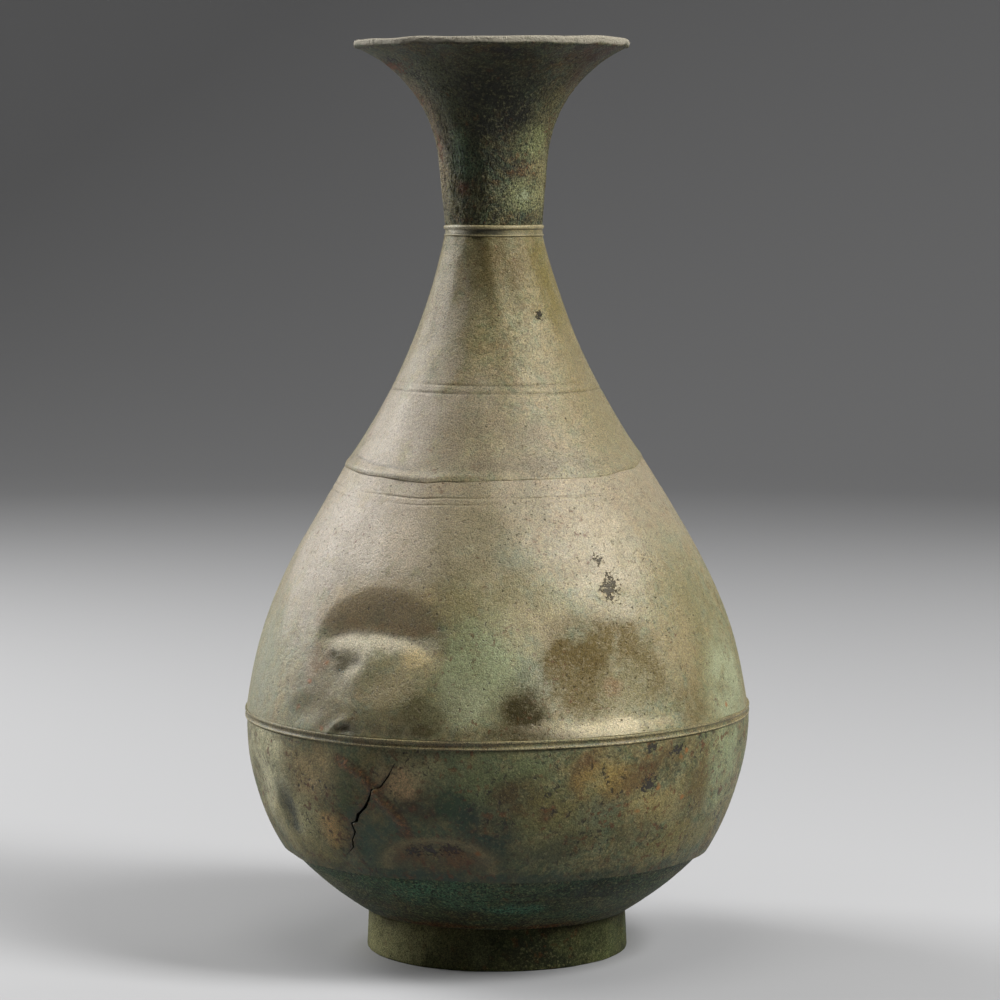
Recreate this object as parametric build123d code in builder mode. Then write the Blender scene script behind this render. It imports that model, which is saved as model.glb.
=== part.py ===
"""Pear-shaped bronze bottle of hammered sheet, soldered up from eight bronze pieces.

It stands along +Z on its foot, with the origin at the centre of the resting face.
Each shell is the line of its outer face in the half plane of radius (x) and height (y),
thickened inwards by one sheet and turned round the axis.
An edge that enters the next piece is necked in by one sheet, which makes a tongue.
"""

import os
from math import asin, cos, degrees, radians, sin

from build123d import *

# Sheet, laps and solder
BODY_WALL = 1.2
MOUTH_WALL = 1.3
SOLDER_GAP = 0.15
LAP_LENGTH = 7.0
JOGGLE_RUN = 0.8
SOLDER_LEG = 2.2
SOLDER_SLACK = 0.03

# Foot ring
FOOT_HEIGHT = 16.0
FOOT_RADIUS = 49.2
FOOT_TAPER = 0.6
FOOT_WALL = 3.2
FOOT_EDGE = 0.5

# Dish under the body: a flat that overhangs the foot a little, then a bowed slope
DISH_OVERHANG = 1.2
DISH_RISE = 23.2
DISH_BOW = 1.4
DISH_SCRIBES = (9.0, 22.0)

# Lower body, from the sharp turn up to the belly seam
TURN_DRAW_IN = 14.3
LOWER_HEIGHT = 50.3
GIRTH_RADIUS = 94.5

# Hoop over the belly seam, with a shallow cove between its two edges
GIRTH_BAND_HEIGHT = 3.4
GIRTH_BAND_PROUD = 0.6
GIRTH_COVE_RADIUS = 2.6
GIRTH_COVE_DEPTH = 0.35

# Shoulder: an arc from the belly seam that runs into a straight cone
SHOULDER_HEIGHT = 88.6
SHOULDER_BEND = 180.0
GIRTH_ANGLE = 8.5
SHOULDER_ANGLE = 31.0

# Long neck cone, its lower edge lapped over the shoulder
CONE_HEIGHT = 86.7
CONE_BOW = 3.9
SKIRT_ANGLE = 35.0
SKIRT_LENGTH = 9.0
SKIRT_PROUD = 0.3
FEATHER_DEPTH = 0.7
FEATHER_LENGTH = 2.5
NECK_RADIUS = 18.35

# Hoop over the neck seam, with a groove under its thicker upper bead
COLLAR_HEIGHT = 4.3
COLLAR_PROUD = 0.45
COLLAR_GROOVE_RADIUS = 0.6
COLLAR_GROOVE_DROP = 2.9

# Trumpet mouth
MOUTH_HEIGHT = 67.5
TUBE_HEIGHT = 24.5
TUBE_RADIUS = 17.9
TUBE_FLARE = 2.3
RIM_RADIUS = 51.2
LIP_RADIUS = 1.15

# Scribed lines, as distances along the sheet from the skirt's top and from the lapped edge
SCRIBE_RADIUS = 0.3
CONE_SCRIBES = (25.4, 28.8)
SHOULDER_SCRIBES = (7.0, 9.5)

# Heights of the seams, stacked from the foot
turn_z = FOOT_HEIGHT + DISH_RISE
band_bottom = turn_z + LOWER_HEIGHT
band_top = band_bottom + GIRTH_BAND_HEIGHT
lap_z = band_top + SHOULDER_HEIGHT
collar_bottom = lap_z + CONE_HEIGHT
collar_top = collar_bottom + COLLAR_HEIGHT
rim_z = collar_top + MOUTH_HEIGHT

# One sheet and its solder: how far a tongue lies inside the piece around it
inset = BODY_WALL + SOLDER_GAP


def on_circle(centre, radius, angle):
    """Point of a circle at an angle in degrees from the x axis."""
    return centre + Vector(radius * cos(radians(angle)), radius * sin(radians(angle)))


def lap_film(centre, bend, start):
    """Draw the solder in a curved lap, with its fillet; return the ends of its open foot."""
    tip = degrees((LAP_LENGTH + SOLDER_SLACK) / bend)
    fillet_top = degrees((LAP_LENGTH + SOLDER_LEG) / bend)
    outer = CenterArc(centre, bend - BODY_WALL - SOLDER_SLACK, start, fillet_top)
    inner = CenterArc(centre, bend - inset + SOLDER_SLACK, start, tip)
    Polyline(outer @ 1, on_circle(centre, bend - inset - BODY_WALL, start + tip), inner @ 1)
    return outer @ 0, inner @ 0


# The lower wall is an arc that stands upright where it is necked in for the seam
wall_rise = LOWER_HEIGHT - JOGGLE_RUN
wall_bend = (TURN_DRAW_IN**2 + wall_rise**2) / (2 * TURN_DRAW_IN)
wall_centre = Vector(GIRTH_RADIUS - wall_bend, turn_z + wall_rise)
wall_sweep = degrees(asin(wall_rise / wall_bend))
wall_lap = degrees(LAP_LENGTH / wall_bend)

# The shoulder's arc starts at the belly seam, leaning in by the girth angle
shoulder_foot = Vector(GIRTH_RADIUS, band_top)
shoulder_centre = on_circle(shoulder_foot, -SHOULDER_BEND, GIRTH_ANGLE)
shoulder_sweep = SHOULDER_ANGLE - GIRTH_ANGLE
shoulder_lap = degrees(LAP_LENGTH / SHOULDER_BEND)
shoulder_end = on_circle(shoulder_centre, SHOULDER_BEND, SHOULDER_ANGLE)

# Its straight part climbs along this direction to the lapped edge
up_slope = Vector(-sin(radians(SHOULDER_ANGLE)), cos(radians(SHOULDER_ANGLE)))
lap_edge = shoulder_end + up_slope * ((lap_z - shoulder_end.Y) / up_slope.Y)

# The cone's skirt flares more than the shoulder, and the shoulder's tongue lies along it
up_skirt = Vector(-sin(radians(SKIRT_ANGLE)), cos(radians(SKIRT_ANGLE)))
out_skirt = Vector(cos(radians(SKIRT_ANGLE)), sin(radians(SKIRT_ANGLE)))
skirt_edge = lap_edge + up_skirt * JOGGLE_RUN + out_skirt * SKIRT_PROUD
skirt_top = skirt_edge + up_skirt * SKIRT_LENGTH
tongue_foot = skirt_edge - out_skirt * inset
tongue_tip = tongue_foot + up_skirt * LAP_LENGTH

spigot_radius = NECK_RADIUS - inset
spigot_tip = collar_bottom - LAP_LENGTH

os.makedirs("parts", exist_ok=True)

# Foot ring: plain tapered hoop with softened lower edges
with BuildPart() as foot_ring:
    with BuildSketch(Plane.XZ):
        with BuildLine():
            Polyline(
                (FOOT_RADIUS - FOOT_WALL, 0),
                (FOOT_RADIUS, 0),
                (FOOT_RADIUS - FOOT_TAPER, FOOT_HEIGHT - SOLDER_GAP),
                (FOOT_RADIUS - FOOT_WALL, FOOT_HEIGHT - SOLDER_GAP),
                close=True,
            )
        make_face()
    revolve(axis=Axis.Z)
    fillet(foot_ring.edges().group_by(Axis.Z)[0], radius=FOOT_EDGE)
foot_ring.part.label = "foot_ring"
export_step(foot_ring.part, "parts/foot_ring.step")

# Dish: flat floor, bowed slope up to the turn, flange that follows the wall's inner face
with BuildPart() as base_dish:
    with BuildSketch(Plane.XZ):
        with BuildLine():
            flat = Line((0, FOOT_HEIGHT), (FOOT_RADIUS + DISH_OVERHANG, FOOT_HEIGHT))
            flange_foot = on_circle(wall_centre, wall_bend - inset, -wall_sweep)
            slope = SagittaArc(flat @ 1, flange_foot, -DISH_BOW)
            CenterArc(wall_centre, wall_bend - inset, -wall_sweep, wall_lap)
            offset(amount=BODY_WALL, side=Side.LEFT, kind=Kind.INTERSECTION)
        make_face()
    revolve(axis=Axis.Z)
    with BuildSketch(Plane.XZ):
        with Locations([slope.position_at(run / slope.length) for run in DISH_SCRIBES]):
            Circle(SCRIBE_RADIUS)
    revolve(axis=Axis.Z, mode=Mode.SUBTRACT)
base_dish.part.label = "base_dish"
export_step(base_dish.part, "parts/base_dish.step")

# Lower body: bowed wall, necked in at the top to a tongue inside the shoulder
with BuildPart() as lower_body:
    with BuildSketch(Plane.XZ):
        with BuildLine():
            wall = CenterArc(wall_centre, wall_bend, -wall_sweep, wall_sweep)
            tongue = CenterArc(shoulder_centre, SHOULDER_BEND - inset, GIRTH_ANGLE, shoulder_lap)
            Polyline(wall @ 1, (GIRTH_RADIUS - inset, band_bottom), tongue @ 0)
            offset(amount=BODY_WALL, side=Side.LEFT, kind=Kind.INTERSECTION)
        make_face()
    revolve(axis=Axis.Z)
lower_body.part.label = "lower_body"
export_step(lower_body.part, "parts/lower_body.step")

# Shoulder: arc and straight cone, necked in at the top to a tongue inside the skirt
with BuildPart() as shoulder:
    with BuildSketch(Plane.XZ):
        with BuildLine():
            CenterArc(shoulder_centre, SHOULDER_BEND, GIRTH_ANGLE, shoulder_sweep)
            Polyline(shoulder_end, lap_edge, tongue_foot, tongue_tip)
            offset(amount=BODY_WALL, side=Side.LEFT, kind=Kind.INTERSECTION)
        make_face()
    revolve(axis=Axis.Z)
    with BuildSketch(Plane.XZ):
        with Locations([lap_edge - up_slope * drop for drop in SHOULDER_SCRIBES]):
            Circle(SCRIBE_RADIUS)
    revolve(axis=Axis.Z, mode=Mode.SUBTRACT)
shoulder.part.label = "shoulder"
export_step(shoulder.part, "parts/shoulder.step")

# Girth band: hoop in the channel between the two halves of the belly
with BuildPart() as girth_band:
    with BuildSketch(Plane.XZ):
        with BuildLine():
            shoulder_lip = on_circle(shoulder_centre, SHOULDER_BEND - BODY_WALL, GIRTH_ANGLE)
            Polyline(
                (GIRTH_RADIUS - BODY_WALL, band_bottom + SOLDER_GAP),
                (GIRTH_RADIUS + GIRTH_BAND_PROUD, band_bottom + SOLDER_GAP),
                (GIRTH_RADIUS + GIRTH_BAND_PROUD, shoulder_lip.Y - SOLDER_GAP),
                (GIRTH_RADIUS - BODY_WALL, shoulder_lip.Y - SOLDER_GAP),
                close=True,
            )
        make_face()
        band_middle = (band_bottom + band_top) / 2
        cove_x = GIRTH_RADIUS + GIRTH_BAND_PROUD - GIRTH_COVE_DEPTH + GIRTH_COVE_RADIUS
        with Locations((cove_x, band_middle)):
            Circle(GIRTH_COVE_RADIUS, mode=Mode.SUBTRACT)
    revolve(axis=Axis.Z)
girth_band.part.label = "girth_band"
export_step(girth_band.part, "parts/girth_band.step")

# Neck cone: hollow-bowed cone with a straight skirt, thinned out along its lower edge
with BuildPart() as neck_cone:
    with BuildSketch(Plane.XZ):
        with BuildLine():
            Line(skirt_edge, skirt_top)
            cone = SagittaArc(skirt_top, (NECK_RADIUS, collar_bottom), CONE_BOW)
            offset(amount=BODY_WALL, side=Side.LEFT, kind=Kind.INTERSECTION)
        make_face()
        with BuildLine():
            Polyline(
                skirt_edge,
                skirt_edge + up_skirt * FEATHER_LENGTH,
                skirt_edge - out_skirt * FEATHER_DEPTH,
                close=True,
            )
        make_face(mode=Mode.SUBTRACT)
    revolve(axis=Axis.Z)
    with BuildSketch(Plane.XZ):
        with Locations([cone.position_at(rise / cone.length) for rise in CONE_SCRIBES]):
            Circle(SCRIBE_RADIUS)
    revolve(axis=Axis.Z, mode=Mode.SUBTRACT)
neck_cone.part.label = "neck_cone"
export_step(neck_cone.part, "parts/neck_cone.step")

# Collar band: rounded hoop with a groove, in the channel between cone and mouth
with BuildPart() as collar_band:
    with BuildSketch(Plane.XZ):
        with BuildLine():
            Polyline(
                (NECK_RADIUS - BODY_WALL, collar_bottom + SOLDER_GAP),
                (NECK_RADIUS + COLLAR_PROUD, collar_bottom + SOLDER_GAP),
                (NECK_RADIUS + COLLAR_PROUD, collar_top - SOLDER_GAP),
                (NECK_RADIUS - BODY_WALL, collar_top - SOLDER_GAP),
                close=True,
            )
        make_face()
        with Locations((NECK_RADIUS + COLLAR_PROUD, collar_top - COLLAR_GROOVE_DROP)):
            Circle(COLLAR_GROOVE_RADIUS, mode=Mode.SUBTRACT)
    revolve(axis=Axis.Z)
collar_band.part.label = "collar_band"
export_step(collar_band.part, "parts/collar_band.step")

# Mouth: spigot inside the cone, neck tube, trumpet and a thickened round lip
with BuildPart() as mouth:
    with BuildSketch(Plane.XZ):
        with BuildLine():
            tube_foot = Vector(TUBE_RADIUS, collar_top + JOGGLE_RUN)
            tube_end = Vector(TUBE_RADIUS + TUBE_FLARE, collar_top + TUBE_HEIGHT)
            tube = Polyline((spigot_radius, spigot_tip), (spigot_radius, collar_top), tube_foot, tube_end)
            trumpet_end = (RIM_RADIUS - LIP_RADIUS, rim_z - LIP_RADIUS - MOUTH_WALL / 2)
            TangentArc(tube @ 1, trumpet_end, tangent=tube % 1)
            offset(amount=MOUTH_WALL, side=Side.LEFT, kind=Kind.INTERSECTION)
        make_face()
        with Locations((RIM_RADIUS - LIP_RADIUS, rim_z - LIP_RADIUS)):
            Circle(LIP_RADIUS)
    revolve(axis=Axis.Z)
mouth.part.label = "mouth"
export_step(mouth.part, "parts/mouth.step")

# Foot solder: film on the foot's top face and a fillet in the recess
with BuildPart() as foot_solder:
    with BuildSketch(Plane.XZ):
        with BuildLine():
            foot_inner = FOOT_RADIUS - FOOT_WALL
            foot_top = FOOT_HEIGHT - SOLDER_GAP
            Polyline(
                (foot_inner - SOLDER_LEG, FOOT_HEIGHT),
                (FOOT_RADIUS - FOOT_TAPER, FOOT_HEIGHT),
                (FOOT_RADIUS - FOOT_TAPER, foot_top),
                (foot_inner, foot_top),
                (foot_inner, foot_top - SOLDER_LEG),
                close=True,
            )
        make_face()
    revolve(axis=Axis.Z)
foot_solder.part.label = "foot_solder"
export_step(foot_solder.part, "parts/foot_solder.step")

# Base solder: film between flange and wall, and a fillet over the flange's tip
with BuildPart() as base_solder:
    with BuildSketch(Plane.XZ):
        with BuildLine():
            outer_foot, inner_foot = lap_film(wall_centre, wall_bend, -wall_sweep)
            Line(outer_foot, inner_foot)
        make_face()
    revolve(axis=Axis.Z)
base_solder.part.label = "base_solder"
export_step(base_solder.part, "parts/base_solder.step")

# Girth solder: film behind the hoop and in the lap, and a fillet over the tongue's tip
with BuildPart() as girth_solder:
    with BuildSketch(Plane.XZ):
        with BuildLine():
            outer_foot, inner_foot = lap_film(shoulder_centre, SHOULDER_BEND, GIRTH_ANGLE)
            Polyline(
                outer_foot,
                (GIRTH_RADIUS - BODY_WALL - SOLDER_SLACK, shoulder_lip.Y - SOLDER_GAP),
                (GIRTH_RADIUS - BODY_WALL - SOLDER_SLACK, band_bottom),
                (GIRTH_RADIUS - inset + SOLDER_SLACK, band_bottom),
                inner_foot,
            )
        make_face()
    revolve(axis=Axis.Z)
girth_solder.part.label = "girth_solder"
export_step(girth_solder.part, "parts/girth_solder.step")

# Shoulder solder: film under the skirt and a fillet over the shoulder's tip
with BuildPart() as shoulder_solder:
    with BuildSketch(Plane.XZ):
        with BuildLine():
            in_skirt = skirt_edge - out_skirt * (FEATHER_DEPTH + BODY_WALL) / 2
            Polyline(
                tongue_foot,
                tongue_tip,
                tongue_tip - out_skirt * BODY_WALL,
                in_skirt + up_skirt * (LAP_LENGTH + SOLDER_LEG),
                in_skirt,
                close=True,
            )
        make_face()
    revolve(axis=Axis.Z)
    add(neck_cone.part, mode=Mode.SUBTRACT)
shoulder_solder.part.label = "shoulder_solder"
export_step(shoulder_solder.part, "parts/shoulder_solder.step")

# Neck solder: film behind the collar and the wedge between spigot and cone
with BuildPart() as neck_solder:
    with BuildSketch(Plane.XZ):
        with BuildLine():
            half_wall = Vector(BODY_WALL / 2, 0)
            Polyline(
                (spigot_radius, spigot_tip),
                cone.position_at(1 - LAP_LENGTH / cone.length) - half_wall,
                cone @ 1 - half_wall,
                (NECK_RADIUS - BODY_WALL, collar_bottom),
                (NECK_RADIUS - BODY_WALL, collar_top),
                (spigot_radius, collar_top),
                close=True,
            )
        make_face()
    revolve(axis=Axis.Z)
    add(neck_cone.part, mode=Mode.SUBTRACT)
neck_solder.part.label = "neck_solder"
export_step(neck_solder.part, "parts/neck_solder.step")
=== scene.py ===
"""Old bronze bottle with a trumpet mouth: dented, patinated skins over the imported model.

Lengths are metres. The bottle stands on its foot along +Z and its front faces -Y.
Places on the wall are given as an angle in degrees from the front, right positive, and a height.
"""

from math import atan, cos, hypot, radians, sin, sqrt, tau

import bmesh
import bpy
import numpy as np
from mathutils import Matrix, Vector


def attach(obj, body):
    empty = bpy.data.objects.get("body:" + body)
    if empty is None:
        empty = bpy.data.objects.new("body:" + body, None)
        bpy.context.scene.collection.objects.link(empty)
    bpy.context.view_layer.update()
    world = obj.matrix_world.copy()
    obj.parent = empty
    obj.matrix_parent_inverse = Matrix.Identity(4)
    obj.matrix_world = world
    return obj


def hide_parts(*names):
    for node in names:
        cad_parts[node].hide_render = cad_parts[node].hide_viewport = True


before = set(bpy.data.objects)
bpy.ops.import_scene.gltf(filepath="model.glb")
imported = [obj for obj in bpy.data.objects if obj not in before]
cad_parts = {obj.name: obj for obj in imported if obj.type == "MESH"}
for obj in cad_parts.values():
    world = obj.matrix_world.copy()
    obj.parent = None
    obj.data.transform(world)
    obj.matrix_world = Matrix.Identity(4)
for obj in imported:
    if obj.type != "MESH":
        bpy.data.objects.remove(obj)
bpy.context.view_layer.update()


# Foot ring
# A plain tapered hoop of heavier bronze, soldered under the dish; it carries the bottle.
# Its lower edge is worn round and the crust is thickest where it meets the dish.

FOOT_HEIGHT = 0.01585
FOOT_OUTSIDE = 0.0492
FOOT_TOP = 0.0486
FOOT_INSIDE = 0.0460
FOOT_EDGE = 0.0006
QUARTER_ROUND = -0.29
WELD = 1e-6


def outline(start, *stretches):
    """Draw a section; each stretch runs to a radius and height, bowed to its left, in steps."""
    bm = bmesh.new()
    tip = bm.verts.new((start[0], 0, start[1]))
    for radius, height, bow, steps in stretches:
        end = Vector((radius, 0, height))
        chord = end - tip.co
        if bow:
            bend = (chord.length_squared / 4 + bow * bow) / (2 * bow)
            leftward = Vector((-chord.z, 0, chord.x)).normalized()
            centre = (tip.co + end) / 2 + leftward * (bow - bend)
            move = {"cent": centre, "angle": 4 * atan(2 * bow / chord.length)}
        else:
            move = {"cent": end, "dvec": chord / steps, "angle": 0}
        made = bmesh.ops.spin(bm, geom=[tip], axis=(0, 1, 0), steps=steps, **move)
        tip = made["geom_last"][0]
    return bm


def turn(bm, around):
    """Spin a section through one sector, then repeat the sector round the axis into a closed skin."""
    sectors = 16
    axis = {"cent": (0, 0, 0), "axis": (0, 0, 1)}
    bmesh.ops.remove_doubles(bm, verts=bm.verts[:], dist=WELD)
    line = bm.verts[:] + bm.edges[:]
    bmesh.ops.spin(bm, geom=line, angle=tau / sectors, steps=around // sectors, **axis)
    sector = bm.verts[:] + bm.edges[:] + bm.faces[:]
    rest = tau - tau / sectors
    bmesh.ops.spin(bm, geom=sector, angle=rest, steps=sectors - 1, use_duplicate=True, **axis)
    bmesh.ops.remove_doubles(bm, verts=bm.verts[:], dist=WELD)
    bmesh.ops.recalc_face_normals(bm, faces=bm.faces[:])


def girth_at(height):
    """Radius of the bottle's outside, near enough to place a dent or a stain."""
    dish_and_wall = ((0.016, 0.049), (0.039, 0.080), (0.050, 0.086), (0.065, 0.091), (0.089, 0.0945))
    upper_belly = ((0.115, 0.090), (0.135, 0.083), (0.159, 0.071), (0.182, 0.057))
    neck_and_mouth = ((0.200, 0.045), (0.235, 0.028), (0.268, 0.018), (0.297, 0.020), (0.340, 0.050))
    heights, radii = zip(*dish_and_wall, *upper_belly, *neck_and_mouth)
    return float(np.interp(height, heights, radii))


class Wall:
    """The points of a skin by angle, height and radius, to be moved about."""

    def __init__(self, mesh):
        self.mesh = mesh
        points = np.empty(len(mesh.vertices) * 3)
        mesh.vertices.foreach_get("co", points)
        self.points = points.reshape(-1, 3)
        self.angle = np.degrees(np.arctan2(self.points[:, 0], -self.points[:, 1]))
        self.height = self.points[:, 2].copy()
        self.radius = np.hypot(self.points[:, 0], self.points[:, 1])
        self.outward = np.zeros_like(self.radius)
        self.lift = np.zeros_like(self.radius)
        self.aside = np.zeros_like(self.radius)

    def waves(self, seed, lobes, climb, count=12):
        """Slow uneven waves round and up the wall, about one unit high."""
        chance = np.random.default_rng(seed)
        total = np.zeros_like(self.radius)
        for _ in range(count):
            turns = chance.integers(lobes[0], lobes[1]) * np.radians(self.angle)
            total += np.cos(turns + chance.uniform(-climb, climb) * self.height + chance.uniform(0, tau))
        return total / sqrt(count)

    def hammering(self, seed, depth):
        """Soft marks of the hammer all over the wall."""
        self.outward += depth * self.waves(seed, (2, 18), 180, 18)

    def pitting(self, seed, depth):
        """Fine unevenness left by the corrosion, different at every point."""
        self.outward += depth * np.random.default_rng(seed).normal(size=len(self.radius))

    def away(self, angle, height):
        """Distances along and up the wall from a place on it."""
        along = np.radians((self.angle - angle + 180) % 360 - 180) * girth_at(height)
        return along, self.height - height

    def hollow(self, angle, height, wide, tall, depth, slant=0.0, edge=2.0):
        """Press in an oval hollow, deepest at its middle; a smaller edge number gives steeper sides."""
        along, up = self.away(angle, height)
        across = (along * cos(radians(slant)) + up * sin(radians(slant))) / wide
        over = (up * cos(radians(slant)) - along * sin(radians(slant))) / tall
        self.outward -= depth * np.clip(1 - across**2 - over**2, 0, None) ** edge

    def from_line(self, places):
        """Distance from a line on the wall, positive on its left, and the share of it passed."""
        middle = places[len(places) // 2]
        along, up = self.away(*middle)
        girth = girth_at(middle[1])
        corners = [(radians(angle - middle[0]) * girth, height - middle[1]) for angle, height in places]
        nearest = np.full_like(along, 1.0)
        signed = np.full_like(along, 1.0)
        passed = np.zeros_like(along)
        walked = 0.0
        for (x0, y0), (x1, y1) in zip(corners, corners[1:]):
            length = hypot(x1 - x0, y1 - y0)
            ahead_x, ahead_y = (x1 - x0) / length, (y1 - y0) / length
            part = np.clip((along - x0) * ahead_x + (up - y0) * ahead_y, 0, length)
            off_x, off_y = along - x0 - part * ahead_x, up - y0 - part * ahead_y
            gap = np.hypot(off_x, off_y)
            closer = gap < nearest
            signed = np.where(closer, np.copysign(gap, ahead_x * off_y - ahead_y * off_x), signed)
            passed = np.where(closer, walked + part, passed)
            nearest = np.minimum(gap, nearest)
            walked += length
        return signed, passed / walked

    def crease(self, places, depth, left, right, fade=0.15, power=2.0):
        """Press a line in, as soft as told on its left and right; a lower power makes it sharper."""
        signed, passed = self.from_line(places)
        ends = np.clip(np.minimum(passed, 1 - passed) / fade, 0, 1)
        width = np.where(signed > 0, left, right)
        self.outward -= depth * ends * ends * (3 - 2 * ends) * np.exp(-np.abs(signed / width) ** power)

    def eased(self, angles, values):
        """A value that eases from one given angle to the next all round the wall."""
        step = np.interp(self.angle, angles, np.arange(len(angles)))
        start = np.minimum(step.astype(int), len(angles) - 2)
        part = 0.5 - 0.5 * np.cos(np.pi * (step - start))
        values = np.asarray(values)
        return values[start] * (1 - part) + values[start + 1] * part

    def scribe(self, height, depth, seed, wear=0.5):
        """A scratched line round the wall, a little wavy and worn away in places."""
        sway = 0.00025
        half_width = 0.00035
        path = height + sway * self.waves(seed, (1, 6), 0, 6)
        keep = np.clip(1 - wear + 0.5 * self.waves(seed + 1, (1, 7), 0, 8), 0, 1)
        self.outward -= depth * keep * np.exp(-(((self.height - path) / half_width) ** 2))

    def paint(self, name, amount):
        """Keep an amount for each point, for the finish to read."""
        layer = self.mesh.attributes.new(name, "FLOAT", "POINT")
        layer.data.foreach_set("value", np.clip(amount, 0, 1).astype(np.float32))

    def settle(self):
        """Move the points to where the given moves have put them."""
        spread = 1 + self.outward / np.maximum(self.radius, 1e-3)
        self.points[:, 0] = self.points[:, 0] * spread + self.aside
        self.points[:, 1] *= spread
        self.points[:, 2] += self.lift
        self.mesh.vertices.foreach_set("co", self.points.ravel())
        self.mesh.update()

    def note_relief(self):
        """Paint where the skin is an edge (towards 1) or a crevice that keeps crust (towards 0)."""
        normals = np.empty(len(self.points) * 3)
        self.mesh.vertex_normals.foreach_get("vector", normals)
        ends = np.empty(len(self.mesh.edges) * 2, dtype=np.int64)
        self.mesh.edges.foreach_get("vertices", ends)
        first, second = ends.reshape(-1, 2).T
        count = np.bincount(ends, minlength=len(self.points))

        def mean_around(values):
            ahead = np.bincount(first, values[second], len(values))
            behind = np.bincount(second, values[first], len(values))
            return (ahead + behind) / count

        around = np.stack([mean_around(column) for column in self.points.T], axis=1)
        hollow = ((around - self.points) * normals.reshape(-1, 3)).sum(axis=1)
        contrast = 9000
        self.paint("relief", 0.5 - contrast * (0.6 * hollow + 0.4 * mean_around(hollow)))


def skin(bm, name, finish, press, around):
    """Spin a section, press it into shape, give it its finish and put it in place of its CAD node."""
    turn(bm, around)
    mesh = bpy.data.meshes.new(name)
    bm.to_mesh(mesh)
    bm.free()
    wall = Wall(mesh)
    press(wall)
    wall.settle()
    wall.note_relief()
    mesh.polygons.foreach_set("use_smooth", [True] * len(mesh.polygons))
    sharp_from = radians(50)
    mesh.set_sharp_from_angle(angle=sharp_from)
    mesh.materials.append(finish)
    piece = bpy.data.objects.new(name + "_skin", mesh)
    bpy.context.collection.objects.link(piece)
    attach(piece, "root")
    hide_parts(name)
    return piece


def tone(red, green, blue):
    """Colour from its usual 0 to 255 values."""
    values = [value / 255 for value in (red, green, blue)]
    return tuple(v / 12.92 if v < 0.04045 else ((v + 0.055) / 1.055) ** 2.4 for v in values) + (1,)


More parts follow.
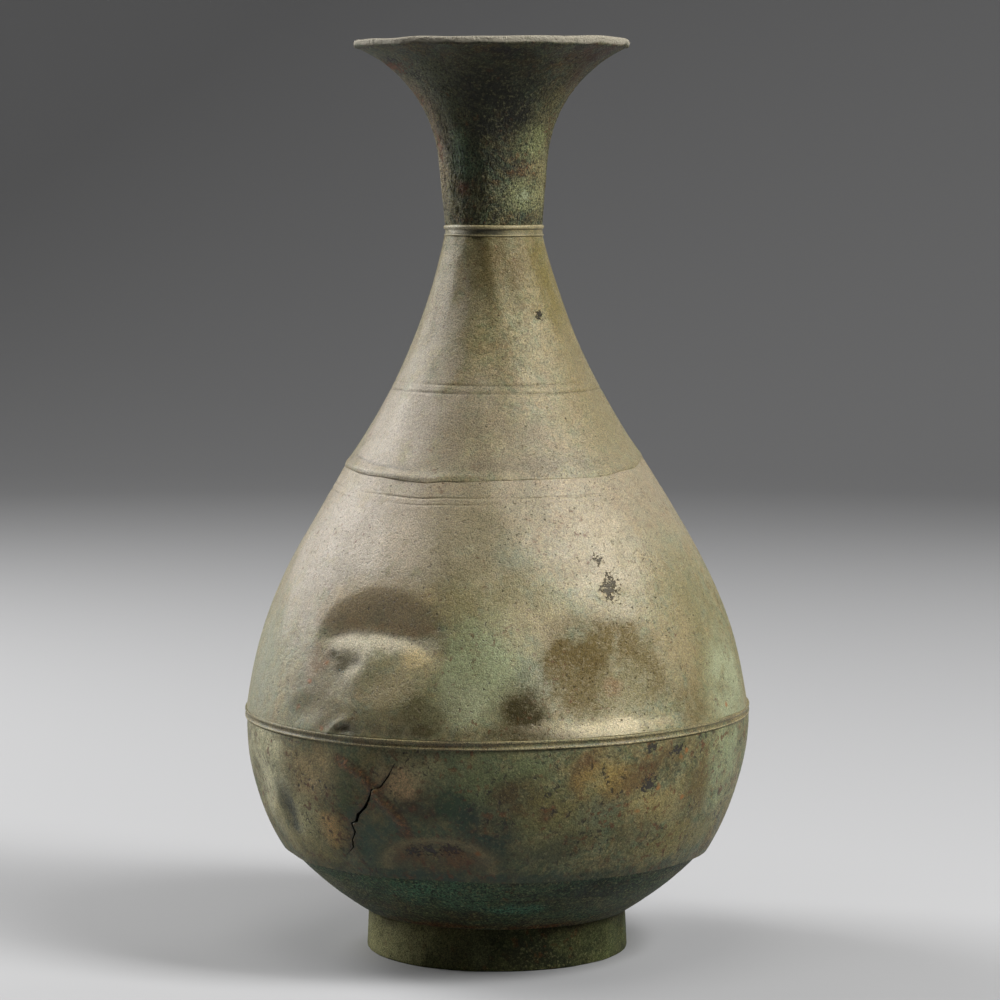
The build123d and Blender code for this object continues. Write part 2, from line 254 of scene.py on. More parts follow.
class Patina:
    """Old bronze surface, built up in layers from the metal outwards."""

    def __init__(self, name, ground):
        """Start from ground colours that change with height."""
        self.material = bpy.data.materials.new(name)
        self.material.use_nodes = True
        self.tree = self.material.node_tree
        self.place = self.add("TexCoord", {}).outputs["Object"]
        self.drifted = self.stray(40, 0.024)
        self.nudged = self.stray(90, 0.007)
        self.height = self.add("SeparateXYZ", {"Vector": self.nudged}).outputs["Z"]
        low, high = ground[0][0], ground[-1][0]
        ramp = self.add("ValToRGB", {"Fac": self.between(self.height, low, high)})
        for step, (height, colour) in enumerate(ground):
            stops = ramp.color_ramp.elements
            stop = stops[step] if step < 2 else stops.new(1)
            stop.position = (height - low) / (high - low)
            stop.color = colour
        self.colour = ramp.outputs["Color"]
        self.ragged = self.noise(230, 5, 0.7)
        self.torn = self.between(self.noise(110, 4, 0.62, False, 2.0), 0.32, 0.68, (0.25, 1.75))
        self.bumps = []

    def add(self, kind, sockets, **settings):
        """Add a shader node, set it up and join or fill its sockets."""
        node = self.tree.nodes.new("ShaderNode" + kind)
        for key, value in settings.items():
            setattr(node, key, value)
        for key, value in sockets.items():
            self.fill(node, key, value)
        return node

    def fill(self, node, key, value):
        """Join a node's socket to the output given, or set it to the value given."""
        if isinstance(value, bpy.types.NodeSocket):
            self.tree.links.new(value, node.inputs[key])
        else:
            node.inputs[key].default_value = value

    def stray(self, scale, reach):
        """Points of the surface moved about a little, so that what reads them has uneven borders."""
        sockets = {"Vector": self.place, "Scale": scale, "Detail": 4, "Roughness": 0.6}
        wild = self.add("TexNoise", sockets).outputs["Color"]
        sockets = {0: wild, 1: (reach, reach, reach), 2: (-reach / 2, -reach / 2, -reach / 2)}
        wild = self.add("VectorMath", sockets, operation="MULTIPLY_ADD").outputs[0]
        return self.add("VectorMath", {0: self.place, 1: wild}).outputs[0]

    def math(self, operation, first, second):
        """Join two values."""
        return self.add("Math", {0: first, 1: second}, operation=operation).outputs[0]

    def between(self, value, low, high, to=(0, 1)):
        """Stretch a value from its range, stopping at the ends."""
        sockets = {"Value": value, "From Min": low, "From Max": high, "To Min": to[0], "To Max": to[1]}
        return self.add("MapRange", sockets).outputs["Result"]

    def noise(self, scale, detail=4, roughness=0.6, drifted=False, shift=0.0, flat=1.0):
        """Cloudy pattern; shift moves it so that two layers differ, flat below 1 draws it out sideways."""
        place = self.drifted if drifted else self.place
        if shift or flat < 1:
            sockets = {0: place, 1: (flat, flat, 1), 2: (shift, shift, -shift)}
            place = self.add("VectorMath", sockets, operation="MULTIPLY_ADD").outputs[0]
        sockets = {"Vector": place, "Scale": scale, "Detail": detail, "Roughness": roughness}
        return self.add("TexNoise", sockets).outputs["Fac"]

    def over(self, amount, colour):
        """Lay a colour over what is there."""
        self.colour = self.add("Mix", {0: amount, 6: self.colour, 7: colour}, data_type="RGBA").outputs[2]

    def cloud(self, colour, scale, low, high, strength=1.0, shift=0.0, flat=1.0):
        """A colour that comes and goes in clouds over the whole piece."""
        patch = self.noise(scale, 5, 0.62, True, shift, flat)
        self.over(self.between(patch, low, high, (0, strength)), colour)

    def mottle(self, scale, strength, *colours):
        """Small patches of several colours, each in its own places."""
        for step, colour in enumerate(colours):
            self.cloud(colour, scale * (1 + 0.3 * step), 0.46, 0.64, strength, 1.3 + 0.4 * step)

    def near(self, place, angle, height, wide, tall, slant):
        """How near a point is to a place on the wall: 1 there, 0 at the reach given for each way."""
        girth = girth_at(height)
        sockets = {
            "Vector": place,
            "Location": (girth * sin(radians(angle)), -girth * cos(radians(angle)), height),
            "Rotation": (0, -radians(slant), radians(angle)),
            "Scale": (wide, wide + tall, tall),
        }
        local = self.add("Mapping", sockets, vector_type="TEXTURE").outputs["Vector"]
        return self.add("TexGradient", {"Vector": local}, gradient_type="SPHERICAL").outputs["Fac"]

    def soft_patch(self, angle, height, wide, tall, colour, strength=1.0, slant=0.0):
        """A soft patch with an uneven border at one place on the wall, fading out past its size; most are
        stains, a few are painted highlights and painted shade.
        """
        close = self.near(self.nudged, angle, height, 1.8 * wide, 1.8 * tall, slant)
        amount = self.math("MULTIPLY", close, self.torn)
        self.over(self.between(amount, 0.08, 0.75, (0, strength)), colour)

    def flaked(self, angle, height, wide, tall, colour, slant=0.0, depth=0.0003):
        """A cluster of small flakes broken out of the surface, or crusted on it below zero depth."""
        close = self.near(self.place, angle, height, wide, tall, slant)
        lace = self.noise(800, 3, 0.7, False, 0.9)
        torn = self.add("Math", {0: close, 1: 0.5, 2: lace}, operation="MULTIPLY_ADD").outputs[0]
        amount = self.between(torn, 0.85, 0.89)
        self.over(amount, colour)
        self.bumps.append((amount, -depth))

    def grain(self, scale, contrast, depth):
        """Sandy grain, lighter and darker by turns and of slightly mixed hues, felt as well as seen."""
        sockets = {"Vector": self.place, "Scale": scale * 0.5, "Detail": 2, "Roughness": 0.6}
        hues = self.add("TexNoise", sockets).outputs["Color"]
        sockets = {0: hues, 1: (0.12, 0.12, 0.12), 2: (0.94, 0.925, 0.855)}
        hues = self.add("VectorMath", sockets, operation="MULTIPLY_ADD").outputs[0]
        tinted = self.add("VectorMath", {0: self.colour, 1: hues}, operation="MULTIPLY").outputs[0]
        fine = self.noise(scale, 3, 0.75)
        shade = self.between(fine, 0.36, 0.64, (1 - contrast, 1 + contrast))
        self.colour = self.add("VectorMath", {0: tinted, "Scale": shade}, operation="SCALE").outputs[0]
        self.bumps.append((fine, depth))

    def crust(self, scale, strength, depth, pale, dark):
        """Granular crust: pale crests and dark pits in between."""
        lumps = self.noise(scale, 3, 0.7, False, 0.6)
        self.over(self.between(lumps, 0.53, 0.68, (0, strength)), pale)
        self.over(self.between(lumps, 0.46, 0.34, (0, strength)), dark)
        self.bumps.append((lumps, depth))

    def specks(self, colour, scale, low, high, strength, depth=0.0, where=None, shift=0.0):
        """Small spots: pits where the depth is below zero and crust where it is above."""
        spots = self.between(self.noise(scale, 2, 0.5, False, shift), low, high)
        if where:
            region = self.between(self.noise(where[0], 3, 0.6, True, shift + 0.3), where[1], where[2])
            spots = self.math("MULTIPLY", spots, region)
        self.over(self.math("MULTIPLY", spots, strength), colour)
        if depth:
            self.bumps.append((spots, depth))

    def uneven(self, scale, depth):
        """Shallow unevenness that only the reflections show."""
        self.bumps.append((self.noise(scale, 3, 0.55, False, 0.5), depth))

    def painted(self, name, colour, strength, broken_up=(0.35, 0.60), scale=230):
        """A colour where the wall was painted with an amount, broken up by a noise of the given scale."""
        amount = self.add("Attribute", {}, attribute_name=name).outputs["Fac"]
        broken = self.math("MULTIPLY", amount, self.between(self.noise(scale, 5, 0.7), *broken_up))
        self.over(self.math("MULTIPLY", broken, strength), colour)

    def crevices(self, colour, strength):
        """Crust kept in the crevices."""
        relief = self.add("Attribute", {}, attribute_name="relief").outputs["Fac"]
        self.over(self.between(relief, 0.40, 0.08, (0, strength)), colour)

    def rubbed(self, colour, strength, heights=None):
        """Edges rubbed bright, only from one height to another where those are given."""
        relief = self.add("Attribute", {}, attribute_name="relief").outputs["Fac"]
        amount = self.between(relief, 0.66, 0.95, (0, strength))
        amount = self.math("MULTIPLY", amount, self.between(self.ragged, 0.30, 0.55, (0.35, 1)))
        if heights:
            amount = self.math("MULTIPLY", amount, self.between(self.height, *heights))
        self.over(amount, colour)

    def finish(self, gloss, metal, shine=0.5, dulled=None):
        """Close the layers into a satin surface; dulled is the span of lightness over which shine grows."""
        shader = self.tree.nodes["Principled BSDF"]
        if dulled:
            lightness = self.add("RGBToBW", {"Color": self.colour}).outputs["Val"]
            shine = self.math("MULTIPLY", self.between(lightness, *dulled, (0.3, 1)), shine)
        rough = self.between(self.noise(120, 4, 0.65, True, 0.7), 0.35, 0.68, gloss)
        self.fill(shader, "Base Color", self.colour)
        self.fill(shader, "Roughness", rough)
        self.fill(shader, "Metallic", metal)
        self.fill(shader, "Specular IOR Level", shine)
        felt = None
        for value, depth in self.bumps:
            sockets = {"Height": value, "Strength": 1.0, "Distance": depth}
            if felt:
                sockets["Normal"] = felt
            felt = self.add("Bump", sockets).outputs["Normal"]
        self.fill(shader, "Normal", felt)
        return self.material


CRUST = tone(27, 25, 17)
RUST = tone(104, 64, 32)
OLIVE = tone(98, 100, 62)
OLIVE_DARK = tone(46, 48, 29)

foot_patina = Patina(
    "foot_patina",
    [(0.0, OLIVE), (0.0120, OLIVE), (0.0150, tone(80, 70, 42)), (0.0162, tone(24, 18, 10))],
)
foot_patina.cloud(tone(84, 98, 62), 60, 0.42, 0.62, 0.6)
foot_patina.cloud(OLIVE_DARK, 44, 0.48, 0.66, 0.8, 0.4)
# painted light: a pale patch on the foot's left side, where the lamps hardly reach
foot_patina.soft_patch(-54, 0.0080, 0.0240, 0.0090, tone(158, 156, 112), 0.9)
foot_patina.soft_patch(14, 0.0060, 0.0230, 0.0080, tone(30, 33, 20), 0.85)
foot_patina.soft_patch(-8, 0.0080, 0.0030, 0.0050, tone(110, 114, 80), 0.5)
foot_patina.specks(RUST, 420, 0.58, 0.68, 0.7, 0, (60, 0.47, 0.62))
foot_patina.crevices(CRUST, 0.8)
foot_patina.crust(900, 0.5, 0.00020, tone(142, 140, 100), tone(15, 15, 9))
foot_patina.grain(2000, 0.7, 0.00016)
foot_finish = foot_patina.finish((0.58, 0.72), 0.0, 0.15)

foot_section = outline(
    (FOOT_INSIDE, FOOT_HEIGHT),
    (FOOT_INSIDE, FOOT_EDGE, 0, 8),
    (FOOT_INSIDE + FOOT_EDGE, 0, QUARTER_ROUND * FOOT_EDGE, 3),
    (FOOT_OUTSIDE - FOOT_EDGE, 0, 0, 3),
    (FOOT_OUTSIDE, FOOT_EDGE, QUARTER_ROUND * FOOT_EDGE, 4),
    (FOOT_TOP, FOOT_HEIGHT, 0, 16),
    (FOOT_INSIDE, FOOT_HEIGHT, 0, 3),
)


def press_foot(wall):
    wall.hammering(11, 0.00014)
    wall.pitting(12, 0.00003)


skin(foot_section, "foot_ring", foot_finish, press_foot, 352)


# Solder under the dish
# Dull grey soft solder: a film on the foot's top face and a fillet in the recess inside it.
# It was melted into the seam, so its surface is smooth and a little lumpy.

SOLDER_LEG = 0.0022
DISH_FLOOR = 0.016

solder_patina = Patina("solder_patina", [(0.0, tone(96, 95, 86)), (0.3, tone(90, 89, 82))])
solder_patina.cloud(tone(132, 130, 120), 60, 0.45, 0.70, 0.6)
solder_patina.cloud(tone(70, 72, 60), 90, 0.50, 0.68, 0.7, 0.5)
solder_patina.grain(1500, 0.4, 0.00012)
solder_finish = solder_patina.finish((0.45, 0.62), 0.4)

foot_solder_section = outline(
    (FOOT_INSIDE - SOLDER_LEG, DISH_FLOOR),
    (FOOT_INSIDE, FOOT_HEIGHT - SOLDER_LEG, 0.0004, 6),
    (FOOT_INSIDE, FOOT_HEIGHT, 0, 2),
    (FOOT_TOP, FOOT_HEIGHT, 0, 2),
    (FOOT_TOP, DISH_FLOOR, 0, 1),
    (FOOT_INSIDE - SOLDER_LEG, DISH_FLOOR, 0, 2),
)
skin(foot_solder_section, "foot_solder", solder_finish, press_foot, 240)


# Base dish
# A flat-bottomed dish of sheet bronze with a bowed slope up to the sharp turn.
# Its upturned flange is soldered inside the lower wall; worn lines run round the slope.

SHEET = 0.0012
DISH_FLAT = 0.0504
TURN = (0.07906, 0.03992)
FLANGE_TIP = (0.08244, 0.04609)
DISH_BOW = 0.0014
FLANGE_BOW = 0.00007
DISH_LINES = (0.0215, 0.0305)
TEAL_DARK = tone(32, 60, 44)

dish_patina = Patina(
    "dish_patina",
    [
        (0.016, tone(50, 49, 31)),
        (0.022, tone(84, 94, 64)),
        (0.036, tone(82, 108, 78)),
        (0.040, tone(40, 66, 50)),
    ],
)
dish_patina.cloud(tone(56, 92, 72), 150, 0.44, 0.62, 0.7, 0, 0.16)
dish_patina.cloud(tone(132, 130, 98), 210, 0.48, 0.66, 0.7, 0.4, 0.10)
dish_patina.cloud(tone(36, 38, 25), 260, 0.48, 0.64, 0.8, 0.8, 0.08)
dish_patina.cloud(tone(98, 78, 44), 70, 0.54, 0.68, 0.5, 0.9)
dish_patina.soft_patch(-20, 0.0330, 0.0220, 0.0050, tone(92, 136, 108), 0.8)
dish_patina.soft_patch(4, 0.0264, 0.0110, 0.0022, tone(88, 136, 112), 0.9)
dish_patina.soft_patch(30, 0.0330, 0.0140, 0.0040, tone(34, 42, 26), 0.8)
dish_patina.soft_patch(19, 0.0172, 0.0120, 0.0013, RUST, 0.9)
dish_patina.soft_patch(-28, 0.0172, 0.0160, 0.0012, RUST, 0.9)
dish_patina.specks(RUST, 420, 0.58, 0.68, 0.7, 0, (60, 0.44, 0.60))
dish_patina.crevices(CRUST, 0.9)
dish_patina.crust(800, 0.9, 0.00022, tone(150, 152, 114), tone(12, 14, 9))
dish_patina.grain(1300, 1.25, 0.00022)
dish_finish = dish_patina.finish((0.52, 0.66), 0.0, 0.3)

dish_section = outline(
    (0, DISH_FLOOR),
    (DISH_FLAT, DISH_FLOOR, 0, 26),
    (*TURN, -DISH_BOW, 64),
    (*FLANGE_TIP, -FLANGE_BOW, 5),
    (FLANGE_TIP[0] - 0.0011, FLANGE_TIP[1] + 0.0005, 0, 1),
    (TURN[0] - 0.0013, TURN[1] + 0.0008, FLANGE_BOW, 4),
    (DISH_FLAT - 0.0006, DISH_FLOOR + SHEET, DISH_BOW, 20),
    (0, DISH_FLOOR + SHEET, 0, 14),
)


TURN_FLAT = (-14.6, 0.0440, 0.0208, 0.0127)
TURN_FLAT_DEPTH = 0.0026


def dent_turn(wall):
    """A flat knocked into the sharp turn, through wall, solder and flange alike."""
    wall.hollow(*TURN_FLAT, TURN_FLAT_DEPTH, 0, 1.0)


def press_dish(wall):
    wall.hammering(21, 0.0002)
    wall.pitting(20, 0.00003)
    for line, height in enumerate(DISH_LINES):
        wall.scribe(height, 0.00028, 22 + line, 0.2)
    dent_turn(wall)


skin(dish_section, "base_dish", dish_finish, press_dish, 512)


# Solder behind the turn
# A thin film between the dish's flange and the lower wall, with a fillet over the flange's tip.
# It shows only inside the bottle and as a grey hairline under the sharp turn.

FLANGE_FILM = (0.07930, 0.03988)

base_solder_section = outline(
    FLANGE_FILM,
    (0.07995, 0.03970, 0, 1),
    (0.08455, 0.04775, -0.0001, 6),
    (0.08160, 0.04665, 0, 2),
    (0.08265, 0.04600, 0, 2),
    (*FLANGE_FILM, 0.00008, 5),
)
skin(base_solder_section, "base_solder", solder_finish, dent_turn, 512)


# Lower body
# Hammered sheet, bowed from the belly seam down to the sharp turn, where it overhangs the dish.
# It is dented, split by one long crack at the front left and mottled with green and brown crust.

GIRTH = 0.0945
WALL_TOP = 0.0893
TURN_RADIUS = 0.0802
TURN_HEIGHT = 0.0392
WALL_BOW = 0.00372
BAND_BOTTOM = 0.0895
TONGUE_FOOT = 0.0929
INSET = 0.00135
CRACK = (
    (-22.7, 0.0835), (-24.4, 0.0786), (-26.4, 0.0746), (-28.4, 0.0736), (-29.6, 0.0696), (-30.8, 0.0665),
    (-32.9, 0.0636), (-33.8, 0.0608), (-35.4, 0.0598), (-35.0, 0.0564), (-36.5, 0.0532), (-36.9, 0.0502),
    (-40.1, 0.0466),
)
CRACK_WIDTHS = (
    0.0003, 0.0008, 0.0011, 0.0009, 0.0014, 0.0018, 0.0020, 0.0019, 0.0013, 0.0014, 0.0012, 0.0011, 0.0004,
)
RUSTY_FOLD = (
    (-37.0, 0.0838), (-31.2, 0.0795), (-26.6, 0.0706), (-24.0, 0.0661), (-21.8, 0.0622), (-20.8, 0.0577),
)
SEAM_FOLD = ((-41.0, 0.0918), (-37.5, 0.0959), (-33.5, 0.0993))
SEAM_HOLLOW = ((6, 0.0992), (20, 0.0985), (36, 0.0985), (52, 0.0992))
SEAM_TILT = 0.009
RUST_DOTS = ((44.5, 0.0835), (46, 0.0850), (38.5, 0.0725), (33.2, 0.0651), (47, 0.0681), (-4.7, 0.0507))
DOT_SIZE = (0.0009, 0.0008)
TONGUE_TIP = (0.09190, 0.09960)
TAN = tone(150, 132, 82)
BROWN = tone(88, 66, 33)

lower_patina = Patina(
    "lower_patina",
    [
        (0.038, tone(40, 66, 50)),
        (0.045, tone(68, 82, 52)),
        (0.053, tone(100, 104, 62)),
        (0.068, tone(114, 116, 70)),
        (0.092, tone(126, 124, 77)),
    ],
)
lower_patina.cloud(tone(86, 104, 66), 34, 0.44, 0.62, 0.6)
lower_patina.cloud(BROWN, 30, 0.52, 0.68, 0.6, 0.4)
lower_patina.cloud(TAN, 38, 0.52, 0.68, 0.6, 0.8)
lower_patina.cloud(tone(136, 148, 116), 48, 0.52, 0.61, 0.8, 1.9)
lower_patina.cloud(tone(58, 56, 36), 54, 0.53, 0.62, 0.8, 2.3)
lower_patina.mottle(60, 0.75, tone(172, 158, 104), tone(72, 58, 26), tone(72, 106, 78))
lower_patina.mottle(160, 0.5, tone(142, 106, 62), tone(88, 112, 96), tone(172, 160, 116))
lower_patina.mottle(340, 0.40, tone(60, 53, 28), tone(70, 102, 76), tone(178, 166, 120))
for place in (
    (-5, 0.0770, 0.0250, 0.0120, tone(106, 120, 90), 0.8),
    (-66, 0.0740, 0.0170, 0.0170, tone(208, 204, 168), 1.0),
    (-54, 0.0540, 0.0140, 0.0100, tone(184, 172, 120), 1.0),
    (-46, 0.0770, 0.0120, 0.0085, tone(192, 170, 124), 0.9),
    (-42, 0.0562, 0.0075, 0.0050, tone(226, 190, 130), 1.0),
    (-58, 0.0593, 0.0055, 0.0085, tone(80, 88, 78), 0.9, 12),
    (-35, 0.0750, 0.0060, 0.0095, tone(80, 96, 58), 0.8),
    (-19, 0.0795, 0.0095, 0.0075, tone(180, 174, 134), 1.0),
    (-29, 0.0560, 0.0120, 0.0095, tone(40, 72, 48), 1.0),
    (-16, 0.0690, 0.0085, 0.0050, tone(64, 55, 26), 1.0),
    (-1, 0.0790, 0.0150, 0.0090, tone(112, 120, 80), 0.8),
    (10, 0.0600, 0.0130, 0.0100, tone(120, 120, 78), 0.8),
    (-9, 0.0670, 0.0055, 0.0105, tone(44, 68, 42), 1.0, 35),
    (-2, 0.0570, 0.0075, 0.0105, tone(22, 42, 29), 1.0, 30),
    (4, 0.0730, 0.0070, 0.0060, tone(74, 60, 28), 0.95),
    (14, 0.0700, 0.0110, 0.0090, tone(116, 106, 58), 0.6),
    (19, 0.0810, 0.0040, 0.0075, tone(106, 78, 42), 0.8, -20),
    (24, 0.0660, 0.0080, 0.0050, tone(112, 122, 96), 0.8, 20),
    (44, 0.0640, 0.0050, 0.0090, tone(150, 142, 100), 0.7, -30),
    (15, 0.0520, 0.0100, 0.0050, tone(62, 68, 46), 0.7, 15),
    (11, 0.0658, 0.0024, 0.0024, tone(88, 66, 38), 0.7),
    (26, 0.0770, 0.0105, 0.0050, tone(174, 148, 86), 0.9),
    (35, 0.0790, 0.0170, 0.0048, tone(100, 78, 42), 0.8, 25),
    (52, 0.0700, 0.0070, 0.0130, tone(108, 92, 46), 0.8),
    (37, 0.0650, 0.0090, 0.0060, tone(152, 138, 90), 0.8),
    (30, 0.0590, 0.0110, 0.0060, tone(92, 92, 60), 0.7),
    (63, 0.0780, 0.0100, 0.0150, tone(156, 166, 128), 0.85),
    (50, 0.0510, 0.0160, 0.0050, tone(138, 128, 74), 0.7),
    (-22, 0.0772, 0.0060, 0.0050, tone(212, 182, 140), 0.9),
    (-50, 0.0570, 0.0070, 0.0080, tone(188, 186, 144), 0.7),
    (-14.6, 0.0470, 0.0250, 0.0110, tone(56, 82, 62), 0.9),
    (-14.6, 0.0490, 0.0150, 0.0055, tone(118, 90, 56), 1.0),
    (2, 0.0408, 0.0600, 0.0024, TEAL_DARK, 0.8),
    (105, 0.0720, 0.0160, 0.0120, tone(158, 140, 86), 0.8),
    (130, 0.0640, 0.0130, 0.0120, tone(56, 80, 52), 0.9),
    (150, 0.0790, 0.0180, 0.0060, tone(86, 62, 28), 0.9, -15),
    (178, 0.0660, 0.0180, 0.0110, tone(96, 112, 74), 0.8),
    (-155, 0.0560, 0.0130, 0.0080, tone(160, 146, 92), 0.8),
    (-135, 0.0760, 0.0140, 0.0090, tone(74, 60, 32), 0.9),
    (-112, 0.0620, 0.0130, 0.0120, tone(50, 78, 52), 0.9),
    (-95, 0.0790, 0.0120, 0.0080, tone(150, 134, 84), 0.8),
):
    lower_patina.soft_patch(*place)
lower_patina.specks(RUST, 420, 0.56, 0.65, 0.85, 0, (46, 0.42, 0.58))
lower_patina.specks(tone(34, 27, 15), 520, 0.58, 0.65, 0.85, -0.0001, (50, 0.44, 0.60), 0.7)
lower_patina.painted("rust", tone(104, 74, 44), 0.9, (0.34, 0.48), 400)
lower_patina.painted("rust", tone(168, 118, 76), 0.9, (0.53, 0.60), 560)
lower_patina.painted("rust", tone(44, 28, 16), 0.9, (0.45, 0.38), 700)
lower_patina.painted("flat_edge", tone(166, 154, 116), 0.75, (0.30, 0.50))
lower_patina.crevices(CRUST, 0.6)
lower_patina.crust(800, 0.28, 0.00018, tone(186, 176, 132), tone(28, 25, 15))
lower_patina.uneven(120, 0.0003)
lower_patina.grain(1600, 0.46, 0.00020)
for place in (
    (43.2, 0.0856, 0.0090, 0.0055, tone(54, 49, 40), 20),
    (35.6, 0.0878, 0.0075, 0.0040, tone(58, 54, 42), 20),
    (36.0, 0.0740, 0.0110, 0.0090, tone(54, 49, 40), 20),
    (-20.4, 0.0505, 0.0070, 0.0062, tone(28, 24, 14)),
    (-16.4, 0.0512, 0.0090, 0.0064, tone(32, 22, 12)),
    (-11.0, 0.0520, 0.0090, 0.0058, tone(46, 28, 15)),
):
    lower_patina.flaked(*place)
for dot in RUST_DOTS:
    lower_patina.soft_patch(*dot, *DOT_SIZE, tone(168, 112, 58), 0.9)
lower_finish = lower_patina.finish((0.44, 0.58), 0.05, 0.5)

lower_section = outline(
    (TURN_RADIUS, TURN_HEIGHT),
    (GIRTH, WALL_TOP, -WALL_BOW, 84),
    (GIRTH - INSET, BAND_BOTTOM, 0, 2),
    (0.09317, TONGUE_FOOT, 0, 3),
    (*TONGUE_TIP, -0.00003, 6),
    (0.09072, 0.09940, 0, 1),
    (0.09195, TONGUE_FOOT - 0.0001, 0.00003, 4),
    (GIRTH - SHEET - 0.0004, WALL_TOP - 0.0012, 0, 4),
    (TURN_RADIUS - 0.0010, TURN_HEIGHT + 0.0006, WALL_BOW, 18),
    (TURN_RADIUS, TURN_HEIGHT, 0, 1),
)


def tilt_seam(wall):
    """The belly seam runs a little low on the left and high on the right."""
    near = np.exp(-(((wall.height - 0.091) / 0.030) ** 2))
    wall.lift += SEAM_TILT * wall.points[:, 0] * near


def dent_belly(wall):
    """Dents that reach the belly seam, pressed through both halves and the solder between them."""
    wall.hollow(25, 0.1170, 0.031, 0.0270, 0.0034)
    wall.crease(SEAM_HOLLOW, 0.0011, 0.0160, 0.0045, 0.3)
    wall.hollow(-48, 0.1000, 0.010, 0.0070, 0.0008)
    wall.crease(SEAM_FOLD, -0.0005, 0.0016, 0.0010, 0.2)
    wall.hollow(-35.3, 0.0948, 0.0050, 0.0034, 0.0007)


def press_lower(wall):
    wall.hammering(31, 0.00028)
    wall.pitting(32, 0.00003)
    wall.hollow(-72, 0.068, 0.020, 0.014, 0.0020, 20)
    wall.hollow(-57, 0.059, 0.008, 0.011, 0.0012, 25)
    wall.hollow(37, 0.075, 0.018, 0.010, 0.0010, 15)
    dent_turn(wall)
    dent_belly(wall)
    wall.crease(RUSTY_FOLD, -0.0008, 0.0011, 0.0018)
    split, passed = wall.from_line(CRACK)
    ends = np.clip(np.minimum(passed, 1 - passed) / 0.2, 0, 1)
    wall.outward += 0.0004 * ends * np.sign(split) * np.exp(-np.abs(split) / 0.004)
    fold, passed = wall.from_line(RUSTY_FOLD)
    wall.paint("rust", np.exp(-((fold / 0.0022) ** 4)) + 0.8 * ends * np.exp(-((split / 0.0018) ** 2)))
    along, up = wall.away(*TURN_FLAT[:2])
    rim = np.hypot(along / TURN_FLAT[2], up / TURN_FLAT[3]) - 0.94
    wall.paint("flat_edge", np.exp(-((rim / 0.10) ** 2)) * (wall.height > 0.0425))
    tilt_seam(wall)


lower_body = skin(lower_section, "lower_body", lower_finish, press_lower, 608)

crack_patina = Patina("crack_patina", [(0.04, CRUST), (0.09, tone(20, 18, 12))])
crack_patina.grain(1500, 0.6, 0.0002)
crack_finish = crack_patina.finish((0.70, 0.85), 0.0, 0.2)


def split_open(piece, places, widths, finish):
    """Cut a crack right through a wall with a thin jagged blade; its sides get a finish of their own."""
    inside = 0.92
    reach = 1.2
    blade = bmesh.new()
    chain = []
    for angle, height in places:
        girth = girth_at(height) * inside
        chain.append(blade.verts.new((girth * sin(radians(angle)), -girth * cos(radians(angle)), height)))
    spine = [blade.edges.new(pair) for pair in zip(chain, chain[1:])]
    other = bmesh.ops.extrude_edge_only(blade, edges=spine)["geom"]
    far_side = [v for v in other if isinstance(v, bmesh.types.BMVert)]
    far_side.sort(key=lambda v: -v.co.z)
    for near, far, width in zip(chain, far_side, widths):
        bmesh.ops.translate(blade, verts=[near], vec=(-width / 2, 0, 0))
        bmesh.ops.translate(blade, verts=[far], vec=(width / 2, 0, 0))
    grown = bmesh.ops.extrude_face_region(blade, geom=blade.faces[:], use_keep_orig=True)["geom"]
    outer = [v for v in grown if isinstance(v, bmesh.types.BMVert)]
    bmesh.ops.scale(blade, verts=outer, vec=(reach, reach, 1))
    bmesh.ops.recalc_face_normals(blade, faces=blade.faces[:])
    blade_mesh = bpy.data.meshes.new("crack_blade")
    blade.to_mesh(blade_mesh)
    blade.free()
    blade_mesh.materials.append(finish)
    cutter = bpy.data.objects.new("crack_blade", blade_mesh)
    bpy.context.collection.objects.link(cutter)
    cut = piece.modifiers.new("crack", "BOOLEAN")
    cut.operation = "DIFFERENCE"
    cut.solver = "MANIFOLD"
    cut.material_mode = "TRANSFER"
    cut.object = cutter
    done = piece.evaluated_get(bpy.context.evaluated_depsgraph_get())
    whole = piece.data
    piece.data = bpy.data.meshes.new_from_object(done)
    piece.modifiers.remove(cut)
    bpy.data.meshes.remove(whole)
    bpy.data.objects.remove(cutter)
    bpy.data.meshes.remove(blade_mesh)


split_open(lower_body, CRACK, CRACK_WIDTHS, crack_finish)


# Solder in the belly seam
# A film behind the hoop and in the lap, with a fillet over the tongue's tip inside.
# Outside it shows only as a hairline above and below the hoop.

SEAM_FILM_BACK = 0.09320
SEAM_FILM_FACE = 0.09327

girth_solder_section = outline(
    (SEAM_FILM_BACK, BAND_BOTTOM),
    (SEAM_FILM_FACE, BAND_BOTTOM, 0, 1),
    (SEAM_FILM_FACE, 0.0927, 0, 3),
    (0.09175, 0.10170, -0.00004, 6),
    (0.09075, 0.09960, 0, 2),
    (0.09192, 0.09965, 0, 2),
    (SEAM_FILM_BACK, TONGUE_FOOT, 0.00003, 5),
    (SEAM_FILM_BACK, BAND_BOTTOM, 0, 3),
)


def press_seam_solder(wall):
    dent_belly(wall)
    tilt_seam(wall)


skin(girth_solder_section, "girth_solder", solder_finish, press_seam_solder, 560)


# Girth band
# A narrow hoop soldered into the channel between the two halves of the belly.
# Its two edges stand up as fine rubbed lines with a crusted cove between them.

BAND_TOP = 0.09275
BAND_FOOT = 0.08945
BAND_FACE = 0.0950
BAND_BACK = 0.0933
COVE_DEPTH = 0.00042
BAND_LINE = 0.00035
BAND_LINE_BOW = -0.0001

